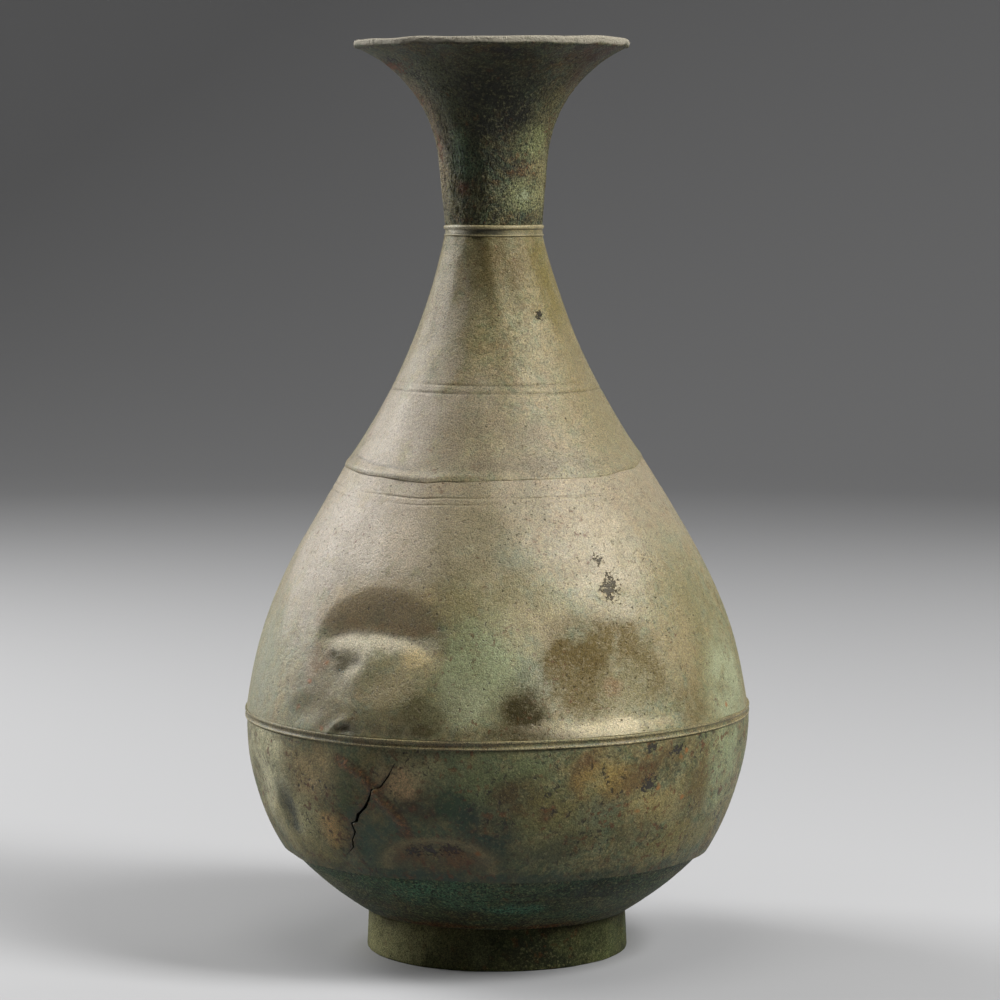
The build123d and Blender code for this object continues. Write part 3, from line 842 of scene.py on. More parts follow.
band_patina = Patina("band_patina", [(0.086, tone(128, 115, 74)), (0.096, tone(138, 125, 84))])
band_patina.cloud(tone(98, 108, 76), 44, 0.45, 0.62, 0.6)
band_patina.cloud(tone(86, 62, 34), 60, 0.48, 0.64, 0.7, 0.5)
band_patina.mottle(170, 0.5, tone(164, 148, 104), tone(62, 52, 30), tone(92, 112, 84))
band_patina.crevices(tone(40, 34, 21), 0.8)
band_patina.rubbed(tone(196, 182, 140), 0.85)
band_patina.grain(1900, 0.8, 0.00015)
band_finish = band_patina.finish((0.44, 0.58), 0.05, 0.7)

band_section = outline(
    (BAND_BACK, BAND_FOOT),
    (BAND_FACE - BAND_LINE, BAND_FOOT, 0, 2),
    (BAND_FACE, BAND_FOOT + BAND_LINE, BAND_LINE_BOW, 3),
    (BAND_FACE, BAND_FOOT + 2 * BAND_LINE, 0, 1),
    (BAND_FACE, BAND_TOP - 2 * BAND_LINE, COVE_DEPTH, 8),
    (BAND_FACE, BAND_TOP - BAND_LINE, 0, 1),
    (BAND_FACE - BAND_LINE, BAND_TOP, BAND_LINE_BOW, 3),
    (BAND_BACK, BAND_TOP, 0, 2),
    (BAND_BACK, BAND_FOOT, 0, 3),
)


def press_band(wall):
    wall.outward += 0.0001 * wall.waves(35, (3, 20), 0, 10)
    wall.lift += 0.00012 * wall.waves(36, (2, 12), 0, 10)
    tilt_seam(wall)


skin(band_section, "girth_band", band_finish, press_band, 640)


# Shoulder
# The upper half of the belly, hammered from sheet; its top edge is necked in under the cone.
# A blow has stove in its front left side, and the right side is pressed hollow above the seam.

SHOULDER_FOOT = 0.0929
SHOULDER_BOW = 0.00346
SHOULDER_END = (0.07077, 0.15900)
LAP_EDGE = (0.05725, 0.18150)
SHOULDER_TONGUE = (0.05593, 0.18155)
SHOULDER_TIP = (0.05191, 0.18729)
SHOULDER_LINES = (0.1733, 0.1756)
BLOW_FOLD = (
    (-50.0, 0.1238), (-44.0, 0.1266), (-38.0, 0.1281), (-30.5, 0.1285),
    (-23.5, 0.1275), (-18.5, 0.1252), (-15.5, 0.1212), (-15.0, 0.1162),
)
BLOW_POCKET = ((-33.6, 0.1206), (-35.4, 0.1182), (-37.2, 0.1156), (-39.0, 0.1130))
BLOW_RIDGE = ((-26.5, 0.1240), (-31.0, 0.1187), (-35.2, 0.1138), (-39.0, 0.1078))
ORANGE_DOTS = ((-47.6, 0.1095), (-50.3, 0.0994), (-41.6, 0.0937), (-44, 0.1165), (64, 0.0985))
LEAN_START = 0.150
LEAN_EASE = 0.02
LEAN = 0.0121
LAP_HEIGHT = 0.183
LAP_REACH = 0.012
OLIVE_YELLOW = tone(136, 124, 74)
SLATE = tone(80, 72, 52)
TURQUOISE = tone(152, 160, 120)
PINK_GREY = tone(164, 150, 132)

shoulder_patina = Patina(
    "shoulder_patina",
    [
        (0.090, tone(150, 144, 98)),
        (0.115, tone(148, 142, 98)),
        (0.135, tone(146, 135, 90)),
        (0.160, tone(150, 137, 106)),
        (0.185, tone(148, 135, 106)),
    ],
)
shoulder_patina.cloud(tone(124, 134, 94), 30, 0.50, 0.68, 0.45)
shoulder_patina.cloud(OLIVE_YELLOW, 26, 0.50, 0.66, 0.45, 0.4)
shoulder_patina.mottle(60, 0.52, tone(180, 164, 118), tone(108, 94, 48), tone(108, 134, 104))
shoulder_patina.mottle(150, 0.45, tone(156, 124, 74), tone(116, 140, 122), tone(188, 172, 128))
shoulder_patina.mottle(330, 0.34, tone(92, 80, 42), tone(108, 132, 98), tone(186, 168, 120))
bare = shoulder_patina.between(shoulder_patina.height, 0.142, 0.172, (0, 0.55))
shoulder_patina.over(bare, tone(168, 149, 123))
for place in (
    (-52, 0.1540, 0.0360, 0.0260, PINK_GREY, 0.8),
    # painted sheen: the left lamp's sheen carried on further right in a pale colour
    (-28, 0.1550, 0.0150, 0.0130, tone(190, 175, 152), 0.8),
    (-6, 0.1580, 0.0150, 0.0180, tone(132, 121, 84), 0.8),
    (4, 0.1570, 0.0055, 0.0055, tone(142, 146, 120), 0.6),
    (-2, 0.1370, 0.0220, 0.0100, tone(138, 128, 80), 0.8),
    (-3, 0.1180, 0.0170, 0.0140, tone(166, 174, 132), 0.9),
    (-8, 0.1050, 0.0100, 0.0080, tone(180, 184, 146), 0.8),
    # painted highlight: a pale patch where the right lamp's sheen falls on the shoulder
    (32, 0.1520, 0.0130, 0.0170, tone(184, 169, 140), 0.7),
    (12, 0.1140, 0.0090, 0.0070, tone(88, 106, 84), 0.9),
    (10, 0.1315, 0.0090, 0.0080, tone(172, 155, 114), 0.8),
    (58, 0.1290, 0.0150, 0.0220, tone(134, 125, 80), 0.7),
    (24, 0.1120, 0.0180, 0.0110, tone(114, 102, 40), 0.9),
    (21, 0.1190, 0.0145, 0.0115, tone(100, 82, 20), 1.0),
    (32, 0.1260, 0.0110, 0.0050, tone(112, 94, 32), 0.9),
    (39, 0.1150, 0.0060, 0.0085, tone(110, 94, 36), 0.9),
    (17, 0.1080, 0.0080, 0.0075, tone(104, 88, 30), 0.9),
    (31, 0.1090, 0.0080, 0.0075, tone(132, 122, 72), 0.75),
    (28, 0.1097, 0.0032, 0.0026, tone(134, 98, 48), 0.7),
    (49, 0.1040, 0.0075, 0.0095, tone(120, 104, 58), 0.75),
    (49, 0.1240, 0.0090, 0.0130, tone(160, 143, 100), 0.7),
    (67, 0.1040, 0.0120, 0.0160, tone(174, 180, 144), 0.95),
    (6.6, 0.1027, 0.0095, 0.0090, tone(104, 92, 52), 0.8),
    (6.6, 0.1027, 0.0062, 0.0060, tone(64, 56, 24), 0.95),
    (-25, 0.1090, 0.0085, 0.0135, tone(150, 134, 88), 0.8),
    (-45, 0.1100, 0.0130, 0.0130, tone(154, 136, 106), 0.6),
    (-16, 0.1010, 0.0100, 0.0085, tone(102, 96, 58), 0.8),
    (-14.5, 0.1260, 0.0035, 0.0110, tone(136, 126, 80), 0.7),
    # painted highlight: a pale strip just above the girth band, where the wall turns up towards the light
    (23, 0.0963, 0.0210, 0.0026, tone(208, 192, 152), 0.8),
    (-72, 0.1100, 0.0140, 0.0170, tone(144, 146, 120), 0.7),
    # painted shade under the small fold above the belly seam
    (-34.8, 0.0946, 0.0042, 0.0026, tone(92, 82, 56), 0.9),
    # partly patina colour, partly painted light that lifts the shade on the dent's upper wall
    (-33, 0.1360, 0.0210, 0.0085, tone(176, 154, 112), 0.9),
    # painted highlight on the ledge under the dent's fold
    (-30, 0.1244, 0.0170, 0.0030, tone(206, 196, 168), 0.9),
    (-31, 0.1303, 0.0200, 0.0022, tone(152, 120, 74), 0.6),
    # painted highlight along the dent's ridge
    (-37, 0.1150, 0.0030, 0.0100, tone(196, 186, 158), 0.7, -28),
    # painted highlight on the lit floor of the dent, right of its ridge
    (-19, 0.1195, 0.0065, 0.0045, tone(200, 178, 124), 0.8),
    # painted shadow in the small pocket left of the dent's ridge
    (-40, 0.1190, 0.0060, 0.0020, tone(94, 86, 54), 1.0, -12),
    (-39.2, 0.1162, 0.0028, 0.0028, tone(94, 86, 54), 1.0),
    (-47, 0.1180, 0.0040, 0.0055, tone(152, 116, 74), 0.6),
    (-10, 0.0950, 0.0400, 0.0020, tone(84, 76, 44), 0.7),
    (150, 0.1250, 0.0260, 0.0160, tone(110, 87, 36), 0.8),
    (172, 0.1080, 0.0160, 0.0120, TURQUOISE, 0.8),
    (128, 0.1060, 0.0140, 0.0110, tone(104, 90, 48), 0.8),
    (-150, 0.1400, 0.0240, 0.0150, tone(130, 118, 72), 0.8),
    (-165, 0.1090, 0.0100, 0.0080, tone(62, 51, 20), 0.9),
    (-122, 0.1180, 0.0180, 0.0130, TURQUOISE, 0.8),
    (110, 0.1420, 0.0200, 0.0180, PINK_GREY, 0.7),
    (-105, 0.1060, 0.0110, 0.0120, tone(112, 96, 52), 0.8),
    (160, 0.1620, 0.0200, 0.0100, tone(168, 154, 126), 0.6),
):
    shoulder_patina.soft_patch(*place)
shoulder_patina.specks(RUST, 520, 0.61, 0.69, 0.7, 0, (40, 0.50, 0.62))
shoulder_patina.specks(tone(80, 70, 40), 640, 0.63, 0.71, 0.6, -0.0001, (44, 0.48, 0.62), 0.7)
shoulder_patina.crevices(tone(56, 49, 32), 0.5)
shoulder_patina.crust(700, 0.22, 0.00012, tone(186, 171, 132), tone(92, 81, 52))
shoulder_patina.uneven(130, 0.00025)
shoulder_patina.grain(1900, 0.42, 0.00020)
shoulder_patina.specks(tone(58, 50, 31), 900, 0.66, 0.73, 0.8, -0.00012, None, 0.2)
shoulder_patina.flaked(30.7, 0.1443, 0.0095, 0.0125, SLATE, -25)
shoulder_patina.flaked(29.2, 0.1538, 0.0050, 0.0055, SLATE)
shoulder_patina.flaked(-39, 0.1142, 0.0026, 0.0028, tone(40, 98, 82), 0, -0.0001)
for dot in ORANGE_DOTS:
    shoulder_patina.soft_patch(*dot, *DOT_SIZE, tone(176, 116, 60), 0.9)
shoulder_finish = shoulder_patina.finish((0.38, 0.50), 0.1, 1.0, (0.05, 0.19))

shoulder_section = outline(
    (GIRTH, SHOULDER_FOOT),
    (*SHOULDER_END, -SHOULDER_BOW, 80),
    (0.06284, 0.1722, 0, 22),
    (0.06019, 0.1766, 0, 20),
    (*LAP_EDGE, 0, 12),
    (*SHOULDER_TONGUE, 0, 1),
    (*SHOULDER_TIP, 0, 6),
    (SHOULDER_TIP[0] - 0.00098, SHOULDER_TIP[1] - 0.00069, 0, 1),
    (LAP_EDGE[0] - 0.0022, LAP_EDGE[1] - 0.0013, 0, 4),
    (SHOULDER_END[0] - 0.00103, SHOULDER_END[1] - 0.0006, 0, 5),
    (GIRTH - 0.00119, SHOULDER_FOOT - 0.00018, SHOULDER_BOW, 12),
    (GIRTH, SHOULDER_FOOT, 0, 1),
)


def lean_neck(wall):
    """The upper part of the bottle leans a little to the left."""
    rise = np.clip(wall.height - LEAN_START, 0, None)
    wall.aside -= LEAN * (rise - LEAN_EASE * (1 - np.exp(-rise / LEAN_EASE)))


def wander_lap(wall):
    """The lap between shoulder and cone wanders up and down the slope."""
    near = np.exp(-(((wall.height - LAP_HEIGHT) / LAP_REACH) ** 2))
    angles = (-180, -78, -50, -27, -17, 3, 37, 60, 80, 180)
    rises = (0.0015, 0.0008, -0.0003, -0.0013, -0.0004, 0.0, 0.0003, 0.0016, 0.0036, 0.0015)
    rise = near * (wall.eased(angles, rises) + 0.00012 * wall.waves(45, (2, 9), 0, 8))
    wall.lift += rise
    wall.outward -= 0.65 * rise


def press_shoulder(wall):
    wall.hammering(41, 0.00025)
    wall.pitting(44, 0.00002)
    wall.hollow(-30.5, 0.1235, 0.0295, 0.0215, 0.0034, 0, 1.4)
    wall.crease(BLOW_FOLD, 0.0019, 0.0096, 0.0036, 0.22, 1.7)
    wall.crease(BLOW_POCKET, 0.0007, 0.0036, 0.0055, 0.4, 2.0)
    wall.crease(BLOW_RIDGE, -0.0011, 0.0070, 0.0085, 0.35)
    dent_belly(wall)
    for line, height in enumerate(SHOULDER_LINES):
        wall.scribe(height, 0.00022, 42 + line, 0.45)
    tilt_seam(wall)
    wander_lap(wall)
    lean_neck(wall)


skin(shoulder_section, "shoulder", shoulder_finish, press_shoulder, 576)


# Solder under the skirt
# A film between the cone's skirt and the shoulder's tongue, with a fillet over the tip inside.
# Outside it shows only as a dark hairline under the skirt's edge.

SKIRT_FILM = (0.05598, 0.18160)

shoulder_solder_section = outline(
    SKIRT_FILM,
    (0.05622, 0.18178, 0, 1),
    (0.05094, 0.18931, 0, 6),
    (0.05095, 0.18664, 0, 2),
    (0.05193, 0.18734, 0, 2),
    (*SKIRT_FILM, 0, 5),
)


def press_skirt_solder(wall):
    wander_lap(wall)
    lean_neck(wall)


skin(shoulder_solder_section, "shoulder_solder", solder_finish, press_skirt_solder, 208)


# Neck cone
# A long hollow-sided cone of sheet; its skirt laps over the shoulder and is beaten thin there.
# A pair of lines is scribed round it, and its surface is the smoothest of the bottle.

SKIRT_EDGE = (0.05728, 0.18193)
SKIRT_BACK = (SKIRT_EDGE[0] - 0.00055, SKIRT_EDGE[1] - 0.00022)
SKIRT_TOP = (0.05187, 0.18970)
CONE_TOP = (0.01835, 0.26820)
CONE_BOW = 0.0039
CONE_LINES = (0.2115, 0.2144)
SKIRT_FOLD = ((-85, 0.1866), (-60, 0.1860), (-42, 0.1853), (-25, 0.1849))

cone_patina = Patina(
    "cone_patina",
    [
        (0.180, tone(146, 132, 103)),
        (0.200, tone(138, 123, 86)),
        (0.235, tone(124, 109, 66)),
        (0.268, tone(96, 84, 42)),
    ],
)
cone_patina.cloud(tone(126, 126, 92), 30, 0.50, 0.68, 0.45)
cone_patina.cloud(tone(132, 113, 70), 26, 0.50, 0.66, 0.45, 0.4)
cone_patina.mottle(70, 0.32, tone(172, 155, 108), tone(106, 90, 46), tone(112, 126, 86))
cone_patina.mottle(160, 0.34, tone(150, 118, 72), tone(116, 134, 108), tone(178, 162, 120))
cone_patina.mottle(330, 0.38, tone(86, 73, 40), tone(108, 124, 84), tone(178, 160, 116))
for place in (
    (-52, 0.2000, 0.0260, 0.0200, PINK_GREY, 0.8),
    (-50, 0.2400, 0.0120, 0.0200, tone(150, 138, 114), 0.7),
    (60, 0.2080, 0.0180, 0.0240, tone(140, 124, 80), 0.6),
    (62, 0.2500, 0.0110, 0.0160, tone(126, 112, 54), 0.8),
    (-5, 0.1960, 0.0200, 0.0070, tone(126, 111, 80), 0.7),
    (10, 0.1870, 0.0280, 0.0030, tone(118, 104, 76), 0.7),
    (-8, 0.2550, 0.0080, 0.0120, tone(88, 83, 50), 0.7),
    (15, 0.2580, 0.0090, 0.0080, tone(120, 101, 60), 0.6),
    (150, 0.2080, 0.0200, 0.0160, tone(120, 105, 60), 0.8),
    (-130, 0.1960, 0.0180, 0.0090, PINK_GREY, 0.7),
    (180, 0.2450, 0.0100, 0.0140, tone(108, 100, 54), 0.8),
):
    cone_patina.soft_patch(*place)
cone_patina.specks(RUST, 440, 0.62, 0.71, 0.6, 0, (40, 0.50, 0.66))
cone_patina.crevices(tone(70, 61, 40), 0.5)
cone_patina.crust(900, 0.20, 0.00011, tone(180, 166, 126), tone(92, 80, 50))
cone_patina.rubbed(tone(186, 175, 148), 0.4, (0.190, 0.187))
cone_patina.uneven(130, 0.00025)
cone_patina.grain(1900, 0.48, 0.00020)
cone_patina.specks(tone(58, 50, 31), 900, 0.67, 0.74, 0.7, -0.00012, None, 0.2)
cone_patina.flaked(36.3, 0.2396, 0.0040, 0.0055, tone(52, 46, 32), -30)
cone_shine = cone_patina.between(cone_patina.height, 0.185, 0.262, (1.0, 0.45))
cone_finish = cone_patina.finish((0.38, 0.50), 0.1, cone_shine, (0.04, 0.17))

cone_section = outline(
    SKIRT_BACK,
    (SKIRT_EDGE[0] - 0.00025, SKIRT_EDGE[1] - 0.00012, 0, 1),
    (SKIRT_EDGE[0] - 0.00012, SKIRT_EDGE[1] + 0.00022, -0.00010, 4),
    (SKIRT_EDGE[0] - 0.00150, SKIRT_EDGE[1] + 0.00216, 0, 6),
    (*SKIRT_TOP, 0, 8),
    (*CONE_TOP, CONE_BOW, 176),
    (CONE_TOP[0] - SHEET, CONE_TOP[1], 0, 1),
    (SKIRT_TOP[0] - 0.0010, SKIRT_TOP[1] - 0.0006, -CONE_BOW, 16),
    (*SKIRT_BACK, 0, 6),
)


def press_cone(wall):
    wall.hammering(51, 0.00015)
    wall.pitting(54, 0.00002)
    wall.scribe(CONE_LINES[0], 0.00030, 52, 0.1)
    wall.scribe(CONE_LINES[1], 0.00024, 53, 0.3)
    edge_reach = 0.0012
    above_edge = wall.height - SKIRT_EDGE[1]
    angles = (-180, -95, -70, -45, -25, -5, 40, 70, 180)
    swell = wall.eased(angles, (0.3, 0.5, 1.0, 0.8, 0.4, 0.2, 0.0, 0.2, 0.3))
    wall.outward += 0.0008 * swell * np.exp(-(((above_edge - 0.0014) / edge_reach) ** 2))
    wall.crease(SKIRT_FOLD, 0.0003, 0.0010, 0.0006, 0.3)
    angles = (-180, -75, -55, -40, -22, -8, 3, 9, 18, 120, 180)
    closed = wall.eased(angles, (1.0, 1.1, 0.9, 0.7, 0.9, 1.3, 1.1, 0.9, 1.3, 1.3, 1.0))
    edge = closed * np.exp(-((above_edge / edge_reach) ** 2))
    wall.lift -= 0.00034 * edge
    wall.outward -= 0.00004 * edge
    wander_lap(wall)
    lean_neck(wall)


skin(cone_section, "neck_cone", cone_finish, press_cone, 432)


# Solder in the neck seam
# A film behind the collar that fills the wedge between the cone and the mouth's spigot.
# It shows only inside the neck.

SPIGOT = 0.0170
SPIGOT_END = 0.2612
COLLAR_BACK = 0.01715
NECK_FILM_TOP = 0.2725

neck_solder_section = outline(
    (SPIGOT, SPIGOT_END),
    (0.01869, 0.2613, 0, 2),
    (COLLAR_BACK, 0.2682, 0.00005, 6),
    (COLLAR_BACK, NECK_FILM_TOP, 0, 3),
    (SPIGOT, NECK_FILM_TOP, 0, 1),
    (SPIGOT, SPIGOT_END, 0, 6),
)
skin(neck_solder_section, "neck_solder", solder_finish, lean_neck, 160)


# Collar band
# A hoop over the neck seam with a round bead along its top, a flat face and a thin bead below.
# Its beads are rubbed bright, with a painted highlight along them, and the corners beside them keep some
# crust.

COLLAR_BOTTOM = 0.26822
COLLAR_TOP = 0.27245
COLLAR_FACE = 0.0188
THIN_BEAD = 0.0007

collar_patina = Patina("collar_patina", [(0.268, tone(132, 121, 82)), (0.273, tone(136, 125, 86))])
collar_patina.cloud(tone(96, 94, 62), 90, 0.47, 0.64, 0.7)
collar_patina.mottle(260, 0.3, tone(164, 150, 110), tone(58, 51, 32), tone(98, 108, 78))
collar_patina.soft_patch(-15, 0.2698, 0.0075, 0.0011, tone(54, 52, 36), 0.9)
collar_patina.crevices(tone(46, 40, 26), 0.9)
# rubbed wear on the beads, with a painted highlight along them
collar_patina.painted("bead_wear_and_highlight", tone(172, 160, 122), 0.8, (0.30, 0.55))
collar_patina.soft_patch(-52, 0.2716, 0.0060, 0.0012, tone(206, 200, 180), 0.9)
collar_patina.rubbed(tone(196, 184, 148), 0.8)
collar_patina.grain(1900, 0.5, 0.00015)
collar_finish = collar_patina.finish((0.44, 0.56), 0.1, 0.6)

collar_section = outline(
    (COLLAR_BACK, COLLAR_BOTTOM),
    (COLLAR_FACE - 0.0005, COLLAR_BOTTOM, 0, 2),
    (COLLAR_FACE - 0.0005, COLLAR_BOTTOM + THIN_BEAD, -0.0003, 6),
    (COLLAR_FACE - 0.0007, COLLAR_TOP - 0.0018, 0.00006, 10),
    (COLLAR_FACE - 0.0008, COLLAR_TOP, -0.0006, 12),
    (COLLAR_BACK, COLLAR_TOP, 0, 2),
    (COLLAR_BACK, COLLAR_BOTTOM, 0, 3),
)


def press_collar(wall):
    # marks both beads for their rubbed wear and painted highlight
    high = np.clip((wall.height - COLLAR_TOP + 0.0017) / 0.0003, 0, 1)
    low = np.clip((COLLAR_BOTTOM + THIN_BEAD - wall.height) / 0.0002, 0, 1)
    wall.paint("bead_wear_and_highlight", high + low)
    wall.outward += 0.00006 * wall.waves(55, (2, 12), 0, 8)
    wall.lift += 0.00015 * wall.waves(56, (1, 6), 0, 6)
    lean_neck(wall)


skin(collar_section, "collar_band", collar_finish, press_collar, 320)


# Mouth
# Neck tube and trumpet raised from one sheet; the lip is thickened and hammered round.
# It is the most corroded piece, with a granular dark green crust and streaks of rust.

MOUTH_WALL = 0.0013
TUBE_FOOT = (0.0180, 0.2726)
TUBE_END = (0.0202, 0.2970)
TRUMPET_END = (0.0499, 0.3377)
TRUMPET_BOW = 0.00691
LIP_FACE = 0.0513
LIP_TOP = 0.3404
LIP_ROUND = 0.0011

mouth_patina = Patina(
    "mouth_patina",
    [
        (0.270, tone(124, 115, 71)),
        (0.285, tone(118, 115, 73)),
        (0.305, tone(106, 109, 76)),
        (0.322, tone(78, 80, 57)),
        (0.340, tone(68, 65, 45)),
    ],
)
mouth_patina.cloud(tone(80, 98, 70), 60, 0.45, 0.63, 0.7)
mouth_patina.cloud(tone(40, 42, 25), 44, 0.46, 0.64, 0.8, 0.4)
mouth_patina.cloud(tone(96, 64, 34), 60, 0.57, 0.70, 0.7, 0.9)
mouth_patina.cloud(tone(30, 23, 14), 190, 0.52, 0.64, 0.85, 0.5, 0.22)
mouth_patina.cloud(tone(104, 68, 38), 150, 0.55, 0.67, 0.8, 0.2, 0.25)
mouth_patina.mottle(90, 0.6, tone(112, 124, 106), tone(36, 34, 20), tone(130, 92, 50))
mouth_patina.mottle(240, 0.5, tone(138, 134, 96), tone(28, 26, 15), tone(90, 116, 92))
for place in (
    (-46, 0.3200, 0.0180, 0.0130, tone(112, 120, 102), 0.8),
    (-75, 0.3120, 0.0100, 0.0120, tone(132, 108, 80), 0.7),
    (-20, 0.3270, 0.0200, 0.0040, tone(112, 116, 90), 0.7),
    (60, 0.3120, 0.0100, 0.0130, tone(126, 118, 80), 0.7),
    (-64, 0.2945, 0.0060, 0.0065, tone(130, 100, 72), 0.8),
    (62, 0.2890, 0.0060, 0.0100, tone(150, 140, 98), 0.7),
    (-78, 0.2880, 0.0060, 0.0110, tone(160, 146, 116), 0.8),
    (-32, 0.3110, 0.0080, 0.0100, tone(122, 130, 98), 0.8),
    (-53, 0.2850, 0.0040, 0.0080, tone(132, 126, 90), 0.7),
    (-2, 0.3180, 0.0150, 0.0180, tone(26, 28, 18), 0.95),
    (130, 0.3200, 0.0140, 0.0100, tone(122, 86, 52), 0.8),
    (180, 0.3000, 0.0100, 0.0100, tone(84, 112, 84), 0.8),
    (-140, 0.3280, 0.0180, 0.0060, tone(40, 38, 24), 0.8),
    (-110, 0.3050, 0.0090, 0.0100, tone(126, 122, 90), 0.7),
    (57, 0.3345, 0.0110, 0.0030, tone(84, 52, 31), 0.8),
    (61, 0.3250, 0.0060, 0.0050, tone(82, 60, 40), 0.8),
    (-39, 0.3044, 0.0040, 0.0028, tone(142, 164, 130), 0.9),
    (-39, 0.2964, 0.0067, 0.0050, tone(98, 124, 98), 0.8),
    (35, 0.2835, 0.0080, 0.0045, tone(156, 160, 116), 0.8),
    (41, 0.3030, 0.0070, 0.0050, tone(146, 152, 106), 0.8),
    (-39, 0.2861, 0.0025, 0.0022, tone(106, 58, 32), 0.8),
    (4, 0.3167, 0.0020, 0.0022, tone(114, 70, 36), 0.8),
):
    mouth_patina.soft_patch(*place)
mouth_patina.specks(RUST, 400, 0.60, 0.69, 0.7, 0, (60, 0.49, 0.62))
mouth_patina.crevices(CRUST, 0.7)
mouth_patina.crust(750, 0.72, 0.0009, tone(136, 134, 102), tone(14, 13, 8))
mouth_patina.grain(1600, 0.85, 0.00044)
for place in (
    (4, 0.3357, 0.0240, 0.0032, tone(24, 17, 10)),
    (-20, 0.3253, 0.0110, 0.0034, tone(24, 17, 10)),
    (-74, 0.3305, 0.0320, 0.0060, tone(116, 70, 36)),
    (-76, 0.3180, 0.0130, 0.0120, tone(132, 94, 60)),
    (-72, 0.3020, 0.0080, 0.0150, tone(130, 96, 66)),
    (-56, 0.3268, 0.0130, 0.0045, tone(26, 20, 12)),
    (-42, 0.3222, 0.0140, 0.0036, tone(22, 18, 11)),
    (-66, 0.3330, 0.0120, 0.0034, tone(30, 21, 12)),
    (60, 0.3325, 0.0180, 0.0060, tone(74, 48, 28)),
    (64, 0.3080, 0.0080, 0.0160, tone(120, 92, 60)),
    (4, 0.3160, 0.0040, 0.0060, tone(74, 46, 24)),
):
    mouth_patina.flaked(*place)
mouth_patina.flaked(35, 0.2835, 0.0100, 0.0060, tone(172, 178, 138), 0, -0.0002)
mouth_patina.flaked(-39, 0.3044, 0.0050, 0.0040, tone(150, 172, 140), 0, -0.0002)
mouth_patina.painted("lip", tone(186, 178, 158), 0.88, (0.15, 0.40))
mouth_finish = mouth_patina.finish((0.52, 0.66), 0.0, 0.35)

mouth_section = outline(
    (SPIGOT, SPIGOT_END),
    (SPIGOT, 0.2722, 0, 8),
    (*TUBE_FOOT, 0, 2),
    (*TUBE_END, 0, 26),
    (*TRUMPET_END, TRUMPET_BOW, 60),
    (LIP_FACE, LIP_TOP - 1.6 * LIP_ROUND, -0.0004, 5),
    (LIP_FACE, LIP_TOP - LIP_ROUND, 0, 1),
    (LIP_FACE - LIP_ROUND, LIP_TOP, QUARTER_ROUND * LIP_ROUND, 5),
    (LIP_FACE - 2 * LIP_ROUND, LIP_TOP - LIP_ROUND, QUARTER_ROUND * LIP_ROUND, 5),
    (TUBE_END[0] - MOUTH_WALL, TUBE_END[1] + 0.0001, -TRUMPET_BOW + 0.0004, 44),
    (TUBE_FOOT[0] - MOUTH_WALL, TUBE_FOOT[1] + 0.0007, 0, 16),
    (SPIGOT - MOUTH_WALL, 0.27303, 0, 2),
    (SPIGOT - MOUTH_WALL, SPIGOT_END, 0, 6),
    (SPIGOT, SPIGOT_END, 0, 1),
)


def press_mouth(wall):
    wall.hammering(61, 0.00016)
    wall.pitting(64, 0.00009)
    lip = np.clip((wall.height - 0.330) / 0.008, 0, 1)
    wall.lift += lip * 0.00010 * wall.waves(62, (2, 16), 0, 12)
    wall.outward += lip * (0.00014 * wall.waves(63, (2, 14), 0, 12) - 0.0003)
    wall.paint("lip", (wall.height - 0.3381 - 0.0002 * wall.waves(65, (3, 30), 0, 12)) / 0.0005)
    upper_lip = np.clip((wall.height - 0.3375) / 0.002, 0, 1)
    rises = (0.0, 0.0, 0.0003, 0.0009, 0.0004, 0.0)
    wall.lift += upper_lip * wall.eased((-180, -90, 0, 55, 110, 180), rises)
    lean_neck(wall)


skin(mouth_section, "mouth", mouth_finish, press_mouth, 448)


# Floor
# A round paper sweep: flat under the bottle and curved up far behind it on every side.

FLOOR_REACH = 1.9
SWEEP_RADIUS = 1.3
SWEEP_HEIGHT = 1.6
SWEEP_BOW = -0.293 * SWEEP_RADIUS
PAPER = (0.50, 0.50, 0.505, 1)
PAPER_BOUNCE = (0.10, 0.10, 0.101, 1)

floor_material = bpy.data.materials.new("floor_paper")
floor_material.use_nodes = True
floor_tree = floor_material.node_tree
floor_shader = floor_tree.nodes["Principled BSDF"]
floor_shader.inputs["Roughness"].default_value = 0.9
light_path = floor_tree.nodes.new("ShaderNodeLightPath")
seen = floor_tree.nodes.new("ShaderNodeMath")
seen.operation = "MAXIMUM"
floor_tree.links.new(light_path.outputs["Is Camera Ray"], seen.inputs[0])
floor_tree.links.new(light_path.outputs["Is Glossy Ray"], seen.inputs[1])
seen_through = floor_tree.nodes.new("ShaderNodeMath")
seen_through.operation = "MAXIMUM"
floor_tree.links.new(seen.outputs[0], seen_through.inputs[0])
floor_tree.links.new(light_path.outputs["Is Transmission Ray"], seen_through.inputs[1])
paper = floor_tree.nodes.new("ShaderNodeMix")
paper.data_type = "RGBA"
paper.inputs[6].default_value = PAPER_BOUNCE
paper.inputs[7].default_value = PAPER
floor_tree.links.new(seen_through.outputs[0], paper.inputs[0])
floor_tree.links.new(paper.outputs[2], floor_shader.inputs["Base Color"])

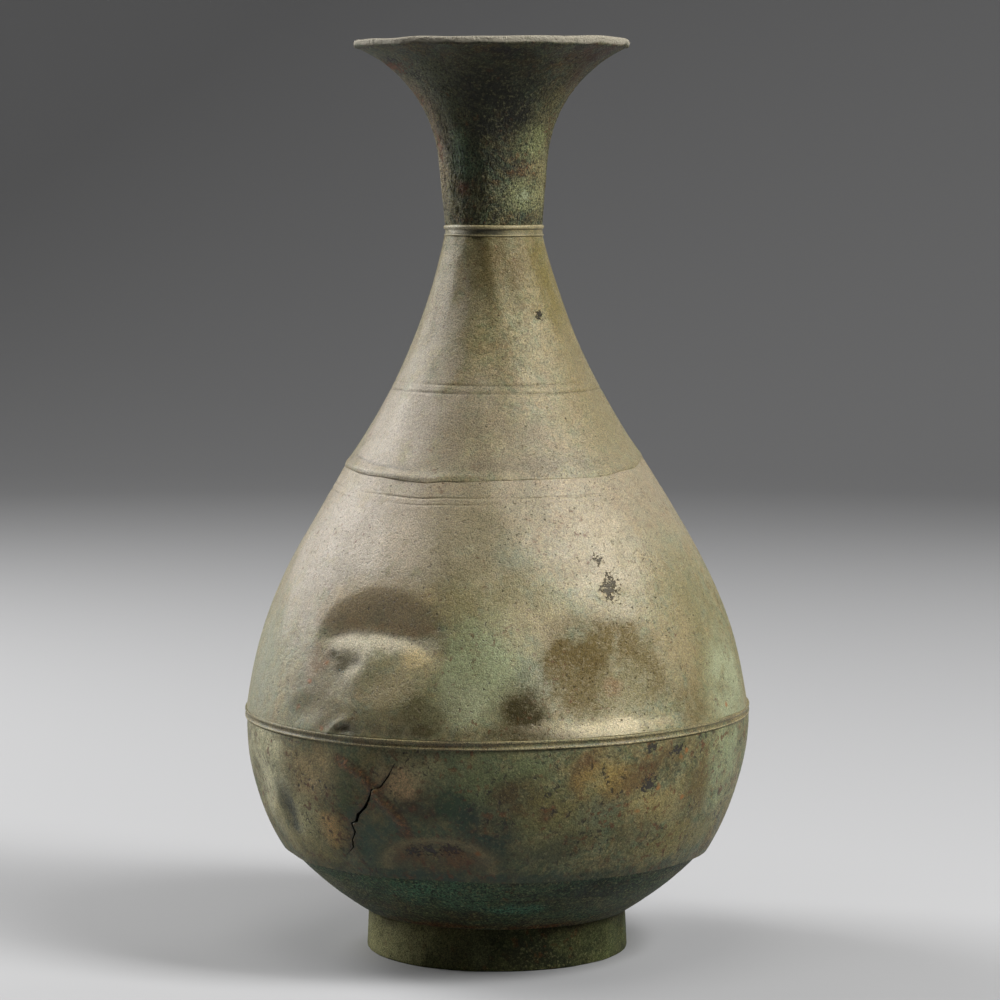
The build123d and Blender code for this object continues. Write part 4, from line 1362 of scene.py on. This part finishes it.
floor_section = outline(
    (0, 0),
    (FLOOR_REACH, 0, 0, 6),
    (FLOOR_REACH + SWEEP_RADIUS, SWEEP_RADIUS, SWEEP_BOW, 16),
    (FLOOR_REACH + SWEEP_RADIUS, SWEEP_RADIUS + SWEEP_HEIGHT, 0, 2),
)
turn(floor_section, 96)
bmesh.ops.reverse_faces(floor_section, faces=[f for f in floor_section.faces if f.normal.z < -0.01])
floor_mesh = bpy.data.meshes.new("floor")
floor_section.to_mesh(floor_mesh)
floor_section.free()
floor_mesh.polygons.foreach_set("use_smooth", [True] * len(floor_mesh.polygons))
floor_mesh.materials.append(floor_material)
floor = bpy.data.objects.new("floor", floor_mesh)
bpy.context.collection.objects.link(floor)


# Light
# A tall soft box on the left and a little behind, one in front on the right, a weak one behind
# on the right and a weak one overhead.


def soft_box(name, place, size, watts, aim=(0, 0, 0.17)):
    light = bpy.data.lights.new(name, "AREA")
    light.shape = "RECTANGLE"
    light.size, light.size_y = size
    light.energy = watts
    lamp = bpy.data.objects.new(name, light)
    lamp.location = place
    lamp.rotation_euler = (Vector(aim) - Vector(place)).to_track_quat("-Z", "Y").to_euler()
    bpy.context.collection.objects.link(lamp)


soft_box("left_box", (-1.18, 0.66, 0.95), (0.8, 1.3), 25)
soft_box("right_box", (1.08, -0.56, 1.22), (0.5, 0.85), 27)
soft_box("back_box", (0.80, 1.05, 0.80), (0.5, 1.0), 2)
soft_box("top_box", (-0.20, -0.30, 1.75), (0.9, 0.7), 5)

room = bpy.data.worlds.new("room")
room.use_nodes = True
room.node_tree.nodes["Background"].inputs["Color"].default_value = (0.8, 0.8, 0.82, 1)
room.node_tree.nodes["Background"].inputs["Strength"].default_value = 0.015
bpy.context.scene.world = room
bpy.context.scene.view_settings.view_transform = "Standard"


# Camera
# A long lens a little under the rim's height, looking slightly down.

CAMERA_PLACE = (0.0011, -1.360, 0.298)
CAMERA_PITCH = 5.411
LENS = 130.9
FILM_WIDTH = 36

camera_data = bpy.data.cameras.new("camera")
camera_data.lens = LENS
camera_data.sensor_width = FILM_WIDTH
camera = bpy.data.objects.new("camera", camera_data)
camera.location = CAMERA_PLACE
camera.rotation_euler = (radians(90 - CAMERA_PITCH), 0, 0)
bpy.context.collection.objects.link(camera)
bpy.context.scene.camera = camera
